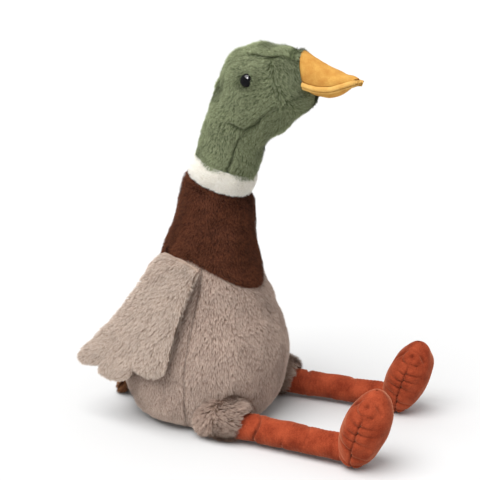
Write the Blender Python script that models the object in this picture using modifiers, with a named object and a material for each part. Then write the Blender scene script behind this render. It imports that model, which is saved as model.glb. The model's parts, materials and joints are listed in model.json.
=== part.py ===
"""A plush mallard duck that sits on a flat seat with its legs stretched out in front.

Metres, +Z up. The duck faces -Y, its left side is +X, and the origin is the centre of the seat.
Each fabric panel is an open patch of a stuffed form, thickened inwards. The fibre inside it is the
same form, moved in by the fabric and a clearance. Pieces that turn on each other meet on a round
surface about the joint, so that the gap between them stays the same as they turn.
"""

import math

import bmesh
import bpy
from mathutils import Matrix, Vector

# Cloth and clearances.
FABRIC = 0.0016
VELVET = 0.0010
FELT = 0.0012
GAP = 0.0003
SEAM_GAP = 0.0008
OVERRUN = 0.0200

# Torso: a pear shape from the flat seat up to the chest seam.
SEAT_RADIUS = 0.0540
TORSO_RADIUS = 0.0805
TORSO_WIDEST_HEIGHT = 0.0600
CHEST_RADIUS = 0.0530
CHEST_SEAM_HEIGHT = 0.1395
CHEST_SEAM_FORWARD = 0.0100
CHEST_SEAM_TILT = math.radians(19.3)
SIDE_SEAM_ANGLE = math.radians(78)

# Neck: the brown sleeve between the chest seam and the collar ring. The seam follows a round
# surface about the neck's hinge, which rises from the seam and is longer front to back than wide.
NECK_HINGE_FORWARD = 0.0141
NECK_HINGE_RISE = 0.0305
NECK_HINGE_HALF_WIDTH = 0.0480
NECK_HINGE_RADIUS = 0.0594
SLEEVE_TOP_RADIUS = 0.0352

# Collar ring: a white band, part of a ball about its own centre.
RING_FORWARD = 0.0196
RING_HEIGHT = 0.2330
RING_TILT = math.radians(21)
RING_RADIUS = 0.0320
RING_HALF_BAND = 0.0105

# Head, which starts as a neck in the ring and ends at the opening that holds the beak.
HEAD_HALF_WIDTH = 0.0360
HEAD_HALF_DEPTH = 0.0414
HEAD_NECK_RADIUS = 0.0305
FACE_FORWARD = 0.1027
FACE_HEIGHT = 0.3270
FACE_TILT = math.radians(73.4)
FACE_HALF_WIDTH = 0.0210
FACE_HALF_DEPTH = 0.0197

# Eyes: a domed button on a stem, held by a washer behind the fabric.
EYE_RADIUS = 0.0059
EYE_DOME = 0.0042
EYE_STEM_RADIUS = 0.0018
EYE_STEM_LENGTH = 0.0062
EYE_ANGLE = math.radians(101.2)
WASHER_RADIUS = 0.0075
WASHER_THICKNESS = 0.0012
WASHER_DROP = 0.0022

# Beak: an upper and a lower felt cover on either side of a mouth sheet with a stitched brim.
BEAK_LENGTH = 0.0440
BEAK_HALF_WIDTH = 0.0195
BEAK_RISE = 0.0240
BEAK_BRIM = 0.0040
BRIM_DROOP = 0.0024
MOUTH_DROP = 0.0060
MOUTH_DIP = 0.0040
MOUTH_TURN_UP = 0.0018
LOWER_BEAK_LENGTH = 0.0400
LOWER_BEAK_HALF_WIDTH = 0.0172
LOWER_BEAK_DEPTH = 0.0092

# Wings: two layers of plush over a wadding, in three lobes, sewn on below the chest seam.
WING_HINGE_OUT = 0.0525
WING_HINGE_BACK = 0.0030
WING_HINGE_HEIGHT = 0.1530
WING_HINGE_YAW = math.radians(17)
WING_HINGE_RISE = math.radians(9)
WING_TOP_WIDTH = 0.0470
WING_HEM_WIDTH = 0.1190
WING_HEM_START = 0.0030
WING_HEM_OUT = 0.0880
WING_HEM_YAW = math.radians(11)
WING_HEM_HEIGHT = 0.0480
WING_THICKNESS = 0.0100
WING_BULGE = 0.0070
WING_WAIST = 0.0120

# Tail: a short brown flap of the same make, low on the back.
TAIL_ROOT_WIDTH = 0.0420
TAIL_END_WIDTH = 0.0300
TAIL_LENGTH = 0.0320
TAIL_DROOP = math.radians(44)
TAIL_THICKNESS = 0.0125

# Legs: a furry thigh ball in a socket of the torso, a velvet tube and an egg-shaped foot.
HIP_SIDE = 0.0590
HIP_FORWARD = 0.0500
HIP_HEIGHT = 0.0212
THIGH_RADIUS = 0.0205
THIGH_OPENING = math.radians(28)
LEG_RADIUS = 0.0130
LEG_LENGTH = 0.1100
LEG_SPLAY = math.radians(2.5)
LEG_ROOT_HEIGHT = 0.0150
ANKLE_HEIGHT = 0.0146
ANKLE_RADIUS = 0.0122
ANKLE_OPENING = math.radians(20)
HEEL_FORWARD = 0.0150
FOOT_HEIGHT = 0.0735
FOOT_HALF_WIDTH = 0.0215
FOOT_HALF_DEPTH = 0.0212
FOOT_LEAN = 0.0180
FOOT_SEAM_ANGLE = math.radians(66)

# How finely the meshes are divided.
TORSO_ROWS = 12
TORSO_COLUMNS = 10
BACK_COLUMNS = 7
POUCH_ROWS = 3
NECK_ROWS = 7
RING_ROWS = 3
HEAD_ROWS = 11
GUSSET_COLUMNS = 4
THROAT_COLUMNS = 6
CHEEK_COLUMNS = 6
BEAK_ROWS = 7
BEAK_COLUMNS = 8
WING_ROWS = 5
LOBE_COLUMNS = 4
TAIL_ROWS = 4
TAIL_COLUMNS = 8
THIGH_ROWS = 6
LEG_ROWS = 3
ANKLE_ROWS = 3
FOOT_ROWS = 10
SOLE_COLUMNS = 5
UPPER_COLUMNS = 9
LIMB_COLUMNS = 14
BALL_SEGMENTS = 28
BALL_RINGS = 14
EYE_SEGMENTS = 12
EYE_ROWS = 4

# Stations of the forms. A torso station is its height share, its share of the way out to the
# widest radius, its forward share and its share of the chest seam's tilt.
TORSO_SHARES = (
    (0.045, 0.36, -0.10, 0.0),
    (0.105, 0.62, -0.10, 0.0),
    (0.200, 0.83, -0.05, 0.0),
    (0.315, 0.96, 0.0, 0.0),
    (0.440, 1.0, 0.10, 0.05),
    (0.600, 0.87, 0.30, 0.25),
    (0.745, 0.63, 0.55, 0.50),
    (0.880, 0.31, 0.80, 0.80),
    (1.0, 0.0, 1.0, 1.0),
)
# A neck station is its share of the way up from the chest seam to the ring and its share of the
# way in from the chest radius to the sleeve's top radius.
NECK_SHARES = (
    (0.20, 0.29),
    (0.40, 0.56),
    (0.61, 0.78),
    (0.82, 0.92),
    (0.94, 1.0),
)
# Where the torso's panels stop above the chest seam's station and where the sleeve starts below
# it, as shares of a station. The neck's round surface cuts both to the seam.
TORSO_OVERLAP_SHARE = 1.5
SLEEVE_OVERLAP_SHARE = 1.5
# A head station is its forward and height shares of the way from the ring to the face, its tilt
# share of the way from the ring's tilt to the face's, and its half width and half depth shares.
HEAD_SHARES = (
    (0.05, 0.112, 0.0, 0.835, 0.73),
    (0.10, 0.262, 0.0, 0.85, 0.74),
    (0.161, 0.419, 0.076, 0.86, 0.735),
    (0.249, 0.56, 0.24, 0.915, 0.80),
    (0.35, 0.69, 0.38, 0.97, 0.915),
    (0.473, 0.843, 0.464, 1.0, 1.0),
    (0.652, 0.942, 0.57, 0.985, 0.928),
    (0.85, 0.982, 0.737, 0.86, 0.725),
)
# Half angles of the crown gusset and the throat gusset along the head, as shares of a half turn.
CROWN_SHARES = (0.10, 0.10, 0.11, 0.125, 0.145, 0.17, 0.20, 0.23, 0.25, 0.265)
THROAT_SHARES = (0.33, 0.335, 0.34, 0.335, 0.325, 0.305, 0.287, 0.278, 0.276, 0.275)
EYE_PLACE_SHARE = 0.709
# Steps along a form and round it that give the slope of its surface under an eye.
SLOPE_PLACE_SHARE = 0.5
SLOPE_ANGLE = math.radians(5)

# Powers of the curves along the beak, and how near its meshes come to its tip.
BEAK_PLAN_SHARE = 2.4
RIDGE_SHARE = 1.15
CHIN_SHARE = 3.0
MOUTH_DIP_SHARE = 0.8
BEAK_END_SHARE = 0.93

# The three lobes of a wing, as shares of its width from front to back: where each ends, how far
# down its tip reaches and how far its corners draw back at its front and at its rear.
WING_LOBE_SHARES = (
    (0.34, 0.955, 0.16, 0.055),
    (0.67, 1.0, 0.055, 0.055),
    (1.0, 0.93, 0.04, 0.17),
)
# Fullness left in the channels between the lobes, and the share of the wing above them.
CHANNEL_SHARE = 0.45
CHANNEL_START_SHARE = 0.62
# Powers of the curves by which a flap thins toward its sides, its hem and its root.
WING_SIDE_SHARE = 5
WING_HEM_SHARE = 6
WING_ROOT_SHARE = 5
TAIL_EDGE_SHARE = 4
# Place of the tail's root along the torso's stations, and how far its corners draw back.
TAIL_PLACE_SHARE = 2.85
TAIL_CORNER_SHARE = 0.28

# The thinner stretch of a leg just before its ankle.
ANKLE_PINCH_SHARE = 0.08

# A foot station is its height share and its half width, half depth and lean shares.
FOOT_SHARES = (
    (0.0, 0.06, 0.06, 0.0),
    (0.035, 0.42, 0.40, 0.02),
    (0.13, 0.74, 0.70, 0.10),
    (0.30, 0.92, 0.92, 0.28),
    (0.50, 1.0, 1.0, 0.52),
    (0.70, 0.93, 0.92, 0.76),
    (0.86, 0.72, 0.66, 0.92),
    (0.96, 0.40, 0.36, 1.0),
    (1.0, 0.05, 0.05, 1.02),
)

# Colours, as sRGB shares.
MOSS = (0.435, 0.498, 0.345)
CREAM = (0.925, 0.910, 0.863)
CHESTNUT = (0.290, 0.165, 0.094)
TAUPE = (0.659, 0.588, 0.518)
RUST = (0.640, 0.270, 0.150)
GOLD = (0.830, 0.610, 0.260)
BLACK = (0.040, 0.040, 0.050)
CLEAR = (0.800, 0.800, 0.780)
FIBRE = (0.900, 0.890, 0.870)
BEANS = (0.780, 0.760, 0.700)

# Roughness of the finishes.
CLOTH_ROUGHNESS = 1.0
FELT_ROUGHNESS = 0.9
PLASTIC_ROUGHNESS = 0.4
POLISHED_ROUGHNESS = 0.08

SIDES = (("left", 1), ("right", -1))


# Numbers and curves.


def between(start, end, share):
    """The value at a share of the way from start to end."""
    return start + (end - start) * share


def steps(start, end, count):
    """Evenly spaced values from start to end."""
    return [between(start, end, index / count) for index in range(count + 1)]


def smooth(values, place):
    """A smooth curve through equal-length rows of values, read at a place counted in rows."""
    last = len(values) - 1
    place = min(max(place, 0), last)
    row = min(int(place), last - 1)
    part = place - row
    ends = (values[max(row - 1, 0)], values[row], values[row + 1], values[min(row + 2, last)])
    result = []
    for before, start, end, after in zip(*ends):
        in_slope = (end - before) / 2
        out_slope = (after - start) / 2
        rise = end - start
        bend = 3 * rise - 2 * in_slope - out_slope
        turn = in_slope + out_slope - 2 * rise
        result.append(start + part * (in_slope + part * (bend + part * turn)))
    return result


# Stuffed forms. A station holds forward, height, tilt, half width and half depth. Angles round a
# form run from its front toward the duck's left.


def form_point(stations, place, angle):
    """The point of a form at a place along it and an angle round it."""
    forward, height, tilt, half_width, half_depth = smooth(stations, place)
    ahead = half_depth * math.cos(angle)
    across = half_width * math.sin(angle)
    return Vector((across, -forward - ahead * math.cos(tilt), height - ahead * math.sin(tilt)))


def form_rings(stations, places, seams):
    """Closed rings of a form, with a point on each seam and at each column of each panel."""
    rings = []
    for spot in places:
        angles = []
        for start, end, columns in seams:
            angles += steps(start(spot), end(spot), columns)[:-1]
        rings.append([form_point(stations, spot, angle) for angle in angles])
    return rings


def form_patch(stations, places, seam):
    """Rows of points of one panel of a form, which keeps half a seam gap off its two seams."""
    start, end, columns = seam
    rows = []
    for spot in places:
        inset = SEAM_GAP / 2 / smooth(stations, spot)[3]
        angles = steps(start(spot) + inset, end(spot) - inset, columns)
        rows.append([form_point(stations, spot, angle) for angle in angles])
    return rows


def moved_in(rings, depth):
    """The closed rings of a form, moved a depth into it square to its surface."""
    last = len(rings) - 1
    moved = []
    for row, ring in enumerate(rings):
        below = rings[max(row - 1, 0)]
        above = rings[min(row + 1, last)]
        line = []
        for column, point in enumerate(ring):
            across = ring[(column + 1) % len(ring)] - ring[column - 1]
            along = above[column] - below[column]
            line.append(point - across.cross(along).normalized() * depth)
        moved.append(line)
    return moved


def fixed(angle):
    """A seam that stays at one angle all along a form."""
    return lambda spot: angle


def ring_base():
    """Forward and height of the centre of the sleeve's top, one gap below the ring's band."""
    drop = RING_HALF_BAND + GAP
    forward = RING_FORWARD - drop * math.sin(RING_TILT)
    return forward, RING_HEIGHT - drop * math.cos(RING_TILT)


def body_stations():
    """The body's form from the seat to the ring: the torso below the chest seam, the neck above."""
    rows = [(0.0, GAP, 0.0, SEAT_RADIUS, SEAT_RADIUS)]
    for height_share, out, forward, tilt in TORSO_SHARES:
        height = height_share * CHEST_SEAM_HEIGHT
        inner_radius = SEAT_RADIUS if height < TORSO_WIDEST_HEIGHT else CHEST_RADIUS
        radius = between(inner_radius, TORSO_RADIUS, out)
        rows.append(
            (forward * CHEST_SEAM_FORWARD, height, tilt * CHEST_SEAM_TILT, radius, radius)
        )
    top_forward, top_height = ring_base()
    for climb, narrowing in NECK_SHARES:
        forward = between(CHEST_SEAM_FORWARD, top_forward, climb)
        height = between(CHEST_SEAM_HEIGHT, top_height, climb)
        tilt = between(CHEST_SEAM_TILT, RING_TILT, climb)
        radius = between(CHEST_RADIUS, SLEEVE_TOP_RADIUS, narrowing)
        rows.append((forward, height, tilt, radius, radius))
    top_radius = math.sqrt(RING_RADIUS**2 - RING_HALF_BAND**2)
    rows.append((top_forward, top_height, RING_TILT, top_radius, top_radius))
    return rows


def body_seams():
    """The seams of the torso's front, left back and right back panels."""
    side = fixed(SIDE_SEAM_ANGLE)
    spine = fixed(math.pi)
    return (
        (fixed(-SIDE_SEAM_ANGLE), side, TORSO_COLUMNS),
        (side, spine, BACK_COLUMNS),
        (spine, fixed(math.tau - SIDE_SEAM_ANGLE), BACK_COLUMNS),
    )


def head_stations():
    """The head's form from the middle of the ring to the opening for the beak."""
    rows = [(RING_FORWARD, RING_HEIGHT, RING_TILT, HEAD_NECK_RADIUS, HEAD_NECK_RADIUS)]
    for forward, height, tilt, width, depth in HEAD_SHARES:
        rows.append(
            (
                between(RING_FORWARD, FACE_FORWARD, forward),
                between(RING_HEIGHT, FACE_HEIGHT, height),
                between(RING_TILT, FACE_TILT, tilt),
                width * HEAD_HALF_WIDTH,
                depth * HEAD_HALF_DEPTH,
            )
        )
    rows.append((FACE_FORWARD, FACE_HEIGHT, FACE_TILT, FACE_HALF_WIDTH, FACE_HALF_DEPTH))
    return rows


def head_seams():
    """The seams of the throat gusset, the left cheek, the crown gusset and the right cheek."""
    throat_rows = [(share,) for share in THROAT_SHARES]
    crown_rows = [(share,) for share in CROWN_SHARES]

    def throat_left(spot):
        return smooth(throat_rows, spot)[0] * math.pi

    def throat_right(spot):
        return -throat_left(spot)

    def crown_left(spot):
        return math.pi - smooth(crown_rows, spot)[0] * math.pi

    def crown_right(spot):
        return math.tau - crown_left(spot)

    def last_seam(spot):
        return math.tau - throat_left(spot)

    return (
        (throat_right, throat_left, THROAT_COLUMNS),
        (throat_left, crown_left, CHEEK_COLUMNS),
        (crown_left, crown_right, GUSSET_COLUMNS),
        (crown_right, last_seam, CHEEK_COLUMNS),
    )


def foot_stations():
    """A foot's form from heel to toe, as it stands in front of its ankle."""
    start = LEG_LENGTH + HEEL_FORWARD
    rows = []
    for height, width, depth, lean in FOOT_SHARES:
        forward = start + lean * FOOT_LEAN
        level = GAP + height * FOOT_HEIGHT
        rows.append((forward, level, 0.0, width * FOOT_HALF_WIDTH, depth * FOOT_HALF_DEPTH))
    return rows


# Materials, collections and objects.


def collection(name):
    """A new collection in the scene."""
    made = bpy.data.collections.new(name)
    bpy.context.scene.collection.children.link(made)
    return made


def linear(value):
    """An sRGB share as linear light."""
    return value / 12.92 if value <= 0.04045 else ((value + 0.055) / 1.055) ** 2.4


def material(name, colour, roughness):
    """A plain material of one colour."""
    made = bpy.data.materials.new(name)
    made.use_nodes = True
    shader = made.node_tree.nodes["Principled BSDF"]
    shader.inputs["Base Color"].default_value = [linear(share) for share in colour] + [1]
    shader.inputs["Roughness"].default_value = roughness
    shader.inputs["Metallic"].default_value = 0
    return made


def place(name, mesh, colour, parent=None, roughness=CLOTH_ROUGHNESS):
    """Puts a mesh in the duck's collection, shaded smooth, on its parent."""
    made = bpy.data.objects.new(name, mesh)
    mesh.materials.append(material(name + "_finish", colour, roughness))
    mesh.shade_smooth()
    DUCK.objects.link(made)
    if parent is not None:
        made.parent = parent
        made.matrix_parent_inverse = parent.matrix_world.inverted()
    return made


def cutter(name, mesh, matrix=None):
    """Puts a mesh with the cutters, hidden from the render."""
    made = bpy.data.objects.new(name, mesh)
    CUTTERS.objects.link(made)
    made.hide_render = True
    made.display_type = "WIRE"
    if matrix is not None:
        made.matrix_world = matrix
    return made


def pivot(name, location, parent=None, rotation=None):
    """An empty on the axis of a joint."""
    made = bpy.data.objects.new(name, None)
    DUCK.objects.link(made)
    made.empty_display_size = LEG_RADIUS
    made.matrix_world = Matrix.Translation(location) @ (rotation or Matrix.Identity(4))
    bpy.context.view_layer.update()
    if parent is not None:
        made.parent = parent
        made.matrix_parent_inverse = parent.matrix_world.inverted()
        bpy.context.view_layer.update()
    return made


def cut(target, *tools):
    """Cuts each tool out of the target."""
    for tool in tools:
        step = target.modifiers.new(tool.name, "BOOLEAN")
        step.object = tool
        step.operation = "DIFFERENCE"
        step.solver = "EXACT"


def thicken(target, thickness=FABRIC):
    """Turns an open patch into a sheet of cloth that lies under it."""
    step = target.modifiers.new("cloth", "SOLIDIFY")
    step.thickness = thickness
    step.offset = -1
    step.use_even_offset = True


# Meshes.


def grid_faces(rows, columns, start=0, closed=False):
    """The faces of a grid of points, whose columns may join up."""
    faces = []
    for row in range(rows - 1):
        for column in range(columns if closed else columns - 1):
            after = (column + 1) % columns
            low = start + row * columns
            high = low + columns
            faces.append((low + column, low + after, high + after, high + column))
    return faces


def open_mesh(name, rows, closed=False):
    """An open patch through rows of points, or an open tube through closed rings of them."""
    made = bpy.data.meshes.new(name)
    points = [point for row in rows for point in row]
    made.from_pydata(points, [], grid_faces(len(rows), len(rows[0]), closed=closed))
    made.update()
    return made


def solid_mesh(name, points, faces):
    """A closed mesh with its faces turned outwards."""
    made = bpy.data.meshes.new(name)
    made.from_pydata(points, [], faces)
    build = bmesh.new()
    build.from_mesh(made)
    bmesh.ops.recalc_face_normals(build, faces=build.faces)
    build.to_mesh(made)
    build.free()
    return made


def core_mesh(name, rows):
    """A solid through closed rings of points, with a fan at each end."""
    columns = len(rows[0])
    points = [point for row in rows for point in row]
    faces = grid_faces(len(rows), columns, closed=True)
    for first, ring in ((0, rows[0]), ((len(rows) - 1) * columns, rows[-1])):
        points.append(sum(ring, Vector()) / columns)
        for column in range(columns):
            faces.append((first + column, first + (column + 1) % columns, len(points) - 1))
    return solid_mesh(name, points, faces)


def slab_mesh(name, outer, inner):
    """A solid between two matching grids of points, closed round its edge."""
    rows = len(outer)
    columns = len(outer[0])
    points = [point for row in outer + inner for point in row]
    other = rows * columns
    faces = grid_faces(rows, columns) + [face[::-1] for face in grid_faces(rows, columns, other)]
    edge = list(range(columns))
    edge += [row * columns + columns - 1 for row in range(1, rows)]
    edge += [(rows - 1) * columns + column for column in range(columns - 2, -1, -1)]
    edge += [row * columns for row in range(rows - 2, 0, -1)]
    for index, corner in enumerate(edge):
        after = edge[(index + 1) % len(edge)]
        faces.append((after, corner, corner + other, after + other))
    return solid_mesh(name, points, faces)


def ball_mesh(name, radii, gap=0.0):
    """A ball with its poles on X. With a gap it is a socket, whose flats still clear the ball
    as it turns about X."""
    made = bpy.data.meshes.new(name)
    build = bmesh.new()
    bmesh.ops.create_uvsphere(build, u_segments=BALL_SEGMENTS, v_segments=BALL_RINGS, radius=1)
    swell = 1 / math.cos(math.pi / BALL_SEGMENTS) if gap else 1
    sizes = [(radius + gap) * swell for radius in radii]
    shape = Matrix.Diagonal(sizes + [1]) @ Matrix.Rotation(math.pi / 2, 4, "Y")
    bmesh.ops.transform(build, matrix=shape, verts=build.verts)
    build.to_mesh(made)
    build.free()
    return made


def box_mesh(name, low, high):
    """A box between two corners."""
    made = bpy.data.meshes.new(name)
    build = bmesh.new()
    bmesh.ops.create_cube(build, size=1)
    move = Matrix.Translation((low + high) / 2) @ Matrix.Diagonal(list(high - low) + [1])
    bmesh.ops.transform(build, matrix=move, verts=build.verts)
    build.to_mesh(made)
    build.free()
    return made


def rod_mesh(name, radius, low, high):
    """A round rod along Z."""
    made = bpy.data.meshes.new(name)
    build = bmesh.new()
    bmesh.ops.create_cone(
        build,
        cap_ends=True,
        segments=EYE_SEGMENTS,
        radius1=radius,
        radius2=radius,
        depth=high - low,
    )
    bmesh.ops.translate(build, vec=(0, 0, (low + high) / 2), verts=build.verts)
    build.to_mesh(made)
    build.free()
    return made


def turned_mesh(name, profile, segments):
    """A solid turned about Z from a profile of (radius, height)."""
    made = bpy.data.meshes.new(name)
    build = bmesh.new()
    corners = [build.verts.new((radius, 0, height)) for radius, height in profile]
    for start, end in zip(corners, corners[1:]):
        build.edges.new((start, end))
    bmesh.ops.spin(
        build,
        geom=build.verts[:] + build.edges[:],
        cent=(0, 0, 0),
        axis=(0, 0, 1),
        angle=math.tau,
        steps=segments,
        use_duplicate=False,
    )
    bmesh.ops.remove_doubles(build, verts=build.verts, dist=GAP / 10)
    bmesh.ops.recalc_face_normals(build, faces=build.faces)
    build.to_mesh(made)
    build.free()
    return made


# Surfaces about the joints.


def ring_frame():
    """The frame of the collar ring: its Z is the neck's axis, leaning forward."""
    return Matrix.Translation((0, -RING_FORWARD, RING_HEIGHT)) @ Matrix.Rotation(RING_TILT, 4, "X")


def make_neck_tools():
    """The socket that ends the torso at the chest seam and the block that ends the sleeve there."""
    centre = Matrix.Translation((0, -NECK_HINGE_FORWARD, CHEST_SEAM_HEIGHT + NECK_HINGE_RISE))
    radii = (NECK_HINGE_HALF_WIDTH, NECK_HINGE_RADIUS, NECK_HINGE_RADIUS)
    plug = cutter("neck_plug_tool", ball_mesh("neck_plug_tool", radii), centre)
    socket = cutter("neck_socket_tool", ball_mesh("neck_socket_tool", radii, GAP), centre)
    reach = TORSO_RADIUS + OVERRUN
    low = Vector((-reach, -reach, -reach))
    block = cutter("below_neck_tool", box_mesh("below_neck_tool", low, Vector((reach, reach, 0))))
    block.matrix_world = centre
    cut(block, plug)
    return socket, block


def make_hip_sockets():
    """The hollows of the torso for the two thighs."""
    sockets = []
    for side, sign in SIDES:
        name = side + "_hip_socket_tool"
        centre = Matrix.Translation((sign * HIP_SIDE, -HIP_FORWARD, HIP_HEIGHT))
        sockets.append(cutter(name, ball_mesh(name, [THIGH_RADIUS] * 3, GAP), centre))
    return sockets


# Sub-assemblies.


def make_torso(neck_socket, hip_sockets):
    """The torso's panels, seat panel, bean pouch and stuffing."""
    stations = body_stations()
    places = steps(0, len(TORSO_SHARES) + TORSO_OVERLAP_SHARE, TORSO_ROWS)
    names = ("torso_front_panel", "torso_left_back_panel", "torso_right_back_panel")
    for name, seam in zip(names, body_seams()):
        panel = place(name, open_mesh(name, form_patch(stations, places, seam)), TAUPE)
        thicken(panel)
        cut(panel, neck_socket)
        if name == "torso_front_panel":
            cut(panel, *hip_sockets)
    seat_radius = SEAT_RADIUS - FABRIC - GAP
    profile = [(0.0, FABRIC), (seat_radius, FABRIC), (seat_radius, 0.0), (0.0, 0.0)]
    columns = TORSO_COLUMNS + 2 * BACK_COLUMNS
    place("seat_panel", turned_mesh("seat_panel", profile, columns), TAUPE)
    rings = moved_in(form_rings(stations, places, body_seams()), FABRIC + GAP)
    floor = FABRIC + GAP
    rings[0] = [Vector((point.x, point.y, floor)) for point in rings[0]]
    pouch_rings = rings[: POUCH_ROWS + 1]
    pouch = place("bean_pouch", core_mesh("bean_pouch", pouch_rings), BEANS)
    cut(pouch, *hip_sockets)
    lift = Vector((0, 0, GAP))
    body_rings = [[point + lift for point in rings[POUCH_ROWS]]] + rings[POUCH_ROWS + 1 :]
    stuffing = place("torso_stuffing", core_mesh("torso_stuffing", body_rings), FIBRE)
    cut(stuffing, neck_socket, *hip_sockets)


def make_neck(block):
    """The brown sleeve and its stuffing, on the neck's hinge."""
    hinge = pivot("neck_hinge", (0, -NECK_HINGE_FORWARD, CHEST_SEAM_HEIGHT + NECK_HINGE_RISE))
    stations = body_stations()
    start = len(TORSO_SHARES) - SLEEVE_OVERLAP_SHARE
    rings = form_rings(stations, steps(start, len(stations) - 1, NECK_ROWS), body_seams())
    sleeve = place("chest_sleeve", open_mesh("chest_sleeve", rings, closed=True), CHESTNUT, hinge)
    thicken(sleeve)
    cut(sleeve, block)
    inside = core_mesh("neck_stuffing", moved_in(rings, FABRIC + GAP))
    core = place("neck_stuffing", inside, FIBRE, hinge)
    cut(core, block)
    return hinge


def make_ring(neck_hinge):
    """The white collar ring, a band of a ball, and the fibre in it."""
    frame = ring_frame()
    tilt = Matrix.Rotation(RING_TILT, 4, "X")
    hinge = pivot("ring_hinge", frame.translation, neck_hinge, tilt)
    columns = TORSO_COLUMNS + 2 * BACK_COLUMNS
    turns = [math.tau * index / columns for index in range(columns)]
    low = -math.asin(RING_HALF_BAND / RING_RADIUS)
    rings = []
    for angle in steps(low, -2 * low, RING_ROWS):
        radius = RING_RADIUS * math.cos(angle)
        height = RING_RADIUS * math.sin(angle)
        ring = [Vector((radius * math.sin(t), -radius * math.cos(t), height)) for t in turns]
        rings.append([frame @ point for point in ring])
    band = place("collar_ring", open_mesh("collar_ring", rings, closed=True), CREAM, hinge)
    thicken(band)
    inner_radius = RING_RADIUS - FABRIC - GAP
    low = -math.asin(RING_HALF_BAND / inner_radius)
    angles = steps(math.pi / 2, low, 2 * RING_ROWS)
    profile = [(inner_radius * math.cos(angle), inner_radius * math.sin(angle)) for angle in angles]
    profile.append((0.0, -RING_HALF_BAND))
    inside = turned_mesh("ring_stuffing", profile, columns)
    inside.transform(frame)
    place("ring_stuffing", inside, FIBRE, hinge)
    return hinge


def make_head(ring_hinge):
    """The four panels of the head, its stuffing, eyes and beak."""
    frame = ring_frame()
    socket = ball_mesh("head_socket_tool", [RING_RADIUS] * 3, GAP)
    socket = cutter("head_socket_tool", socket, frame)
    hinge = pivot("head_hinge", frame.translation, ring_hinge)
    stations = head_stations()
    places = steps(0, len(stations) - 1, HEAD_ROWS)
    names = ("throat_gusset", "head_left_panel", "crown_gusset", "head_right_panel")
    panels = {}
    for name, seam in zip(names, head_seams()):
        rows = form_patch(stations, places, seam)
        panels[name] = place(name, open_mesh(name, rows), MOSS, hinge)
        thicken(panels[name])
        cut(panels[name], socket)
    rings = moved_in(form_rings(stations, places, head_seams()), FABRIC + GAP)
    core = place("head_stuffing", core_mesh("head_stuffing", rings), FIBRE, hinge)
    cut(core, socket)
    for side, sign in SIDES:
        make_eye(side, sign, stations, hinge, panels["head_" + side + "_panel"], core)
    make_beak(hinge)


def surface_frame(stations, place_along, angle):
    """The frame of a form's surface at a point, with Z looking out."""
    point = form_point(stations, place_along, angle)
    along = form_point(stations, place_along + SLOPE_PLACE_SHARE, angle) - point
    around = form_point(stations, place_along, angle + SLOPE_ANGLE) - point
    out = around.cross(along).normalized()
    side = out.cross(around).normalized()
    frame = Matrix((side, out.cross(side), out)).transposed().to_4x4()
    frame.translation = point
    return frame


def make_eye(side, sign, stations, hinge, panel, core):
    """One safety eye: its button outside the panel, its washer in a pocket of the stuffing."""
    middle = EYE_PLACE_SHARE * (len(stations) - 1)
    frame = surface_frame(stations, middle, sign * EYE_ANGLE)
    profile = [
        (EYE_RADIUS * math.sin(turn), GAP + EYE_DOME * math.cos(turn))
        for turn in steps(0, math.pi / 2, EYE_ROWS)
    ]
    profile += [
        (EYE_STEM_RADIUS, GAP),
        (EYE_STEM_RADIUS, -EYE_STEM_LENGTH),
        (0.0, -EYE_STEM_LENGTH),
    ]
    button = turned_mesh(side + "_eye", profile, EYE_SEGMENTS)
    button.transform(frame)
    place(side + "_eye", button, BLACK, hinge, POLISHED_ROUGHNESS)
    top = -FABRIC - WASHER_DROP
    bottom = top - WASHER_THICKNESS
    bore = EYE_STEM_RADIUS + GAP
    profile = [(bore, top), (WASHER_RADIUS, top), (WASHER_RADIUS, bottom), (bore, bottom)]
    washer = turned_mesh(side + "_eye_washer", profile + profile[:1], EYE_SEGMENTS)
    washer.transform(frame)
    place(side + "_eye_washer", washer, CLEAR, hinge, PLASTIC_ROUGHNESS)
    name = side + "_eye_hole_tool"
    hole = cutter(name, rod_mesh(name, bore, -EYE_STEM_LENGTH - GAP, OVERRUN), frame)
    cut(panel, hole)
    name = side + "_eye_pocket_tool"
    pocket = cutter(name, rod_mesh(name, WASHER_RADIUS + GAP, bottom - GAP, OVERRUN), frame)
    cut(core, pocket, hole)


def mouth_line(reach):
    """Height of the mouth at a reach from the face: it dips in the middle and turns up at the tip."""
    share = reach / BEAK_LENGTH
    dip = math.sin(math.pi * min(share, 1.0) ** MOUTH_DIP_SHARE)
    root = FACE_HEIGHT - MOUTH_DROP
    return root - MOUTH_DIP * dip + MOUTH_TURN_UP * share**3


def beak_point(reach, across, lift):
    """A point of the beak. Its root leans with the face opening, and its tip is upright."""
    height = mouth_line(reach) + lift
    lean = math.tan(math.pi / 2 - FACE_TILT) * max(1 - reach / BEAK_LENGTH, 0.0)
    root = FACE_FORWARD + GAP + lean * (FACE_HEIGHT - height)
    return Vector((across, -root - reach, height))


def beak_plan(share):
    """The share of its half width that the beak has along it: blunt at the root, round at the tip."""
    return math.sqrt(1 - share**BEAK_PLAN_SHARE)


def beak_arch(reach, half_width, rise, depth):
    """An arch across a cover of the beak, from its left foot to its right, drawn in by a depth."""
    foot = FELT / 2 + GAP
    wide = max(half_width - depth, GAP)
    high = max(abs(rise) - depth, GAP)
    up = math.copysign(1, rise)
    arch = []
    for turn in steps(0, math.pi, BEAK_COLUMNS):
        lift = up * (foot + high * math.sin(turn))
        arch.append(beak_point(reach, wide * math.cos(turn), lift))
    return arch


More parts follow.
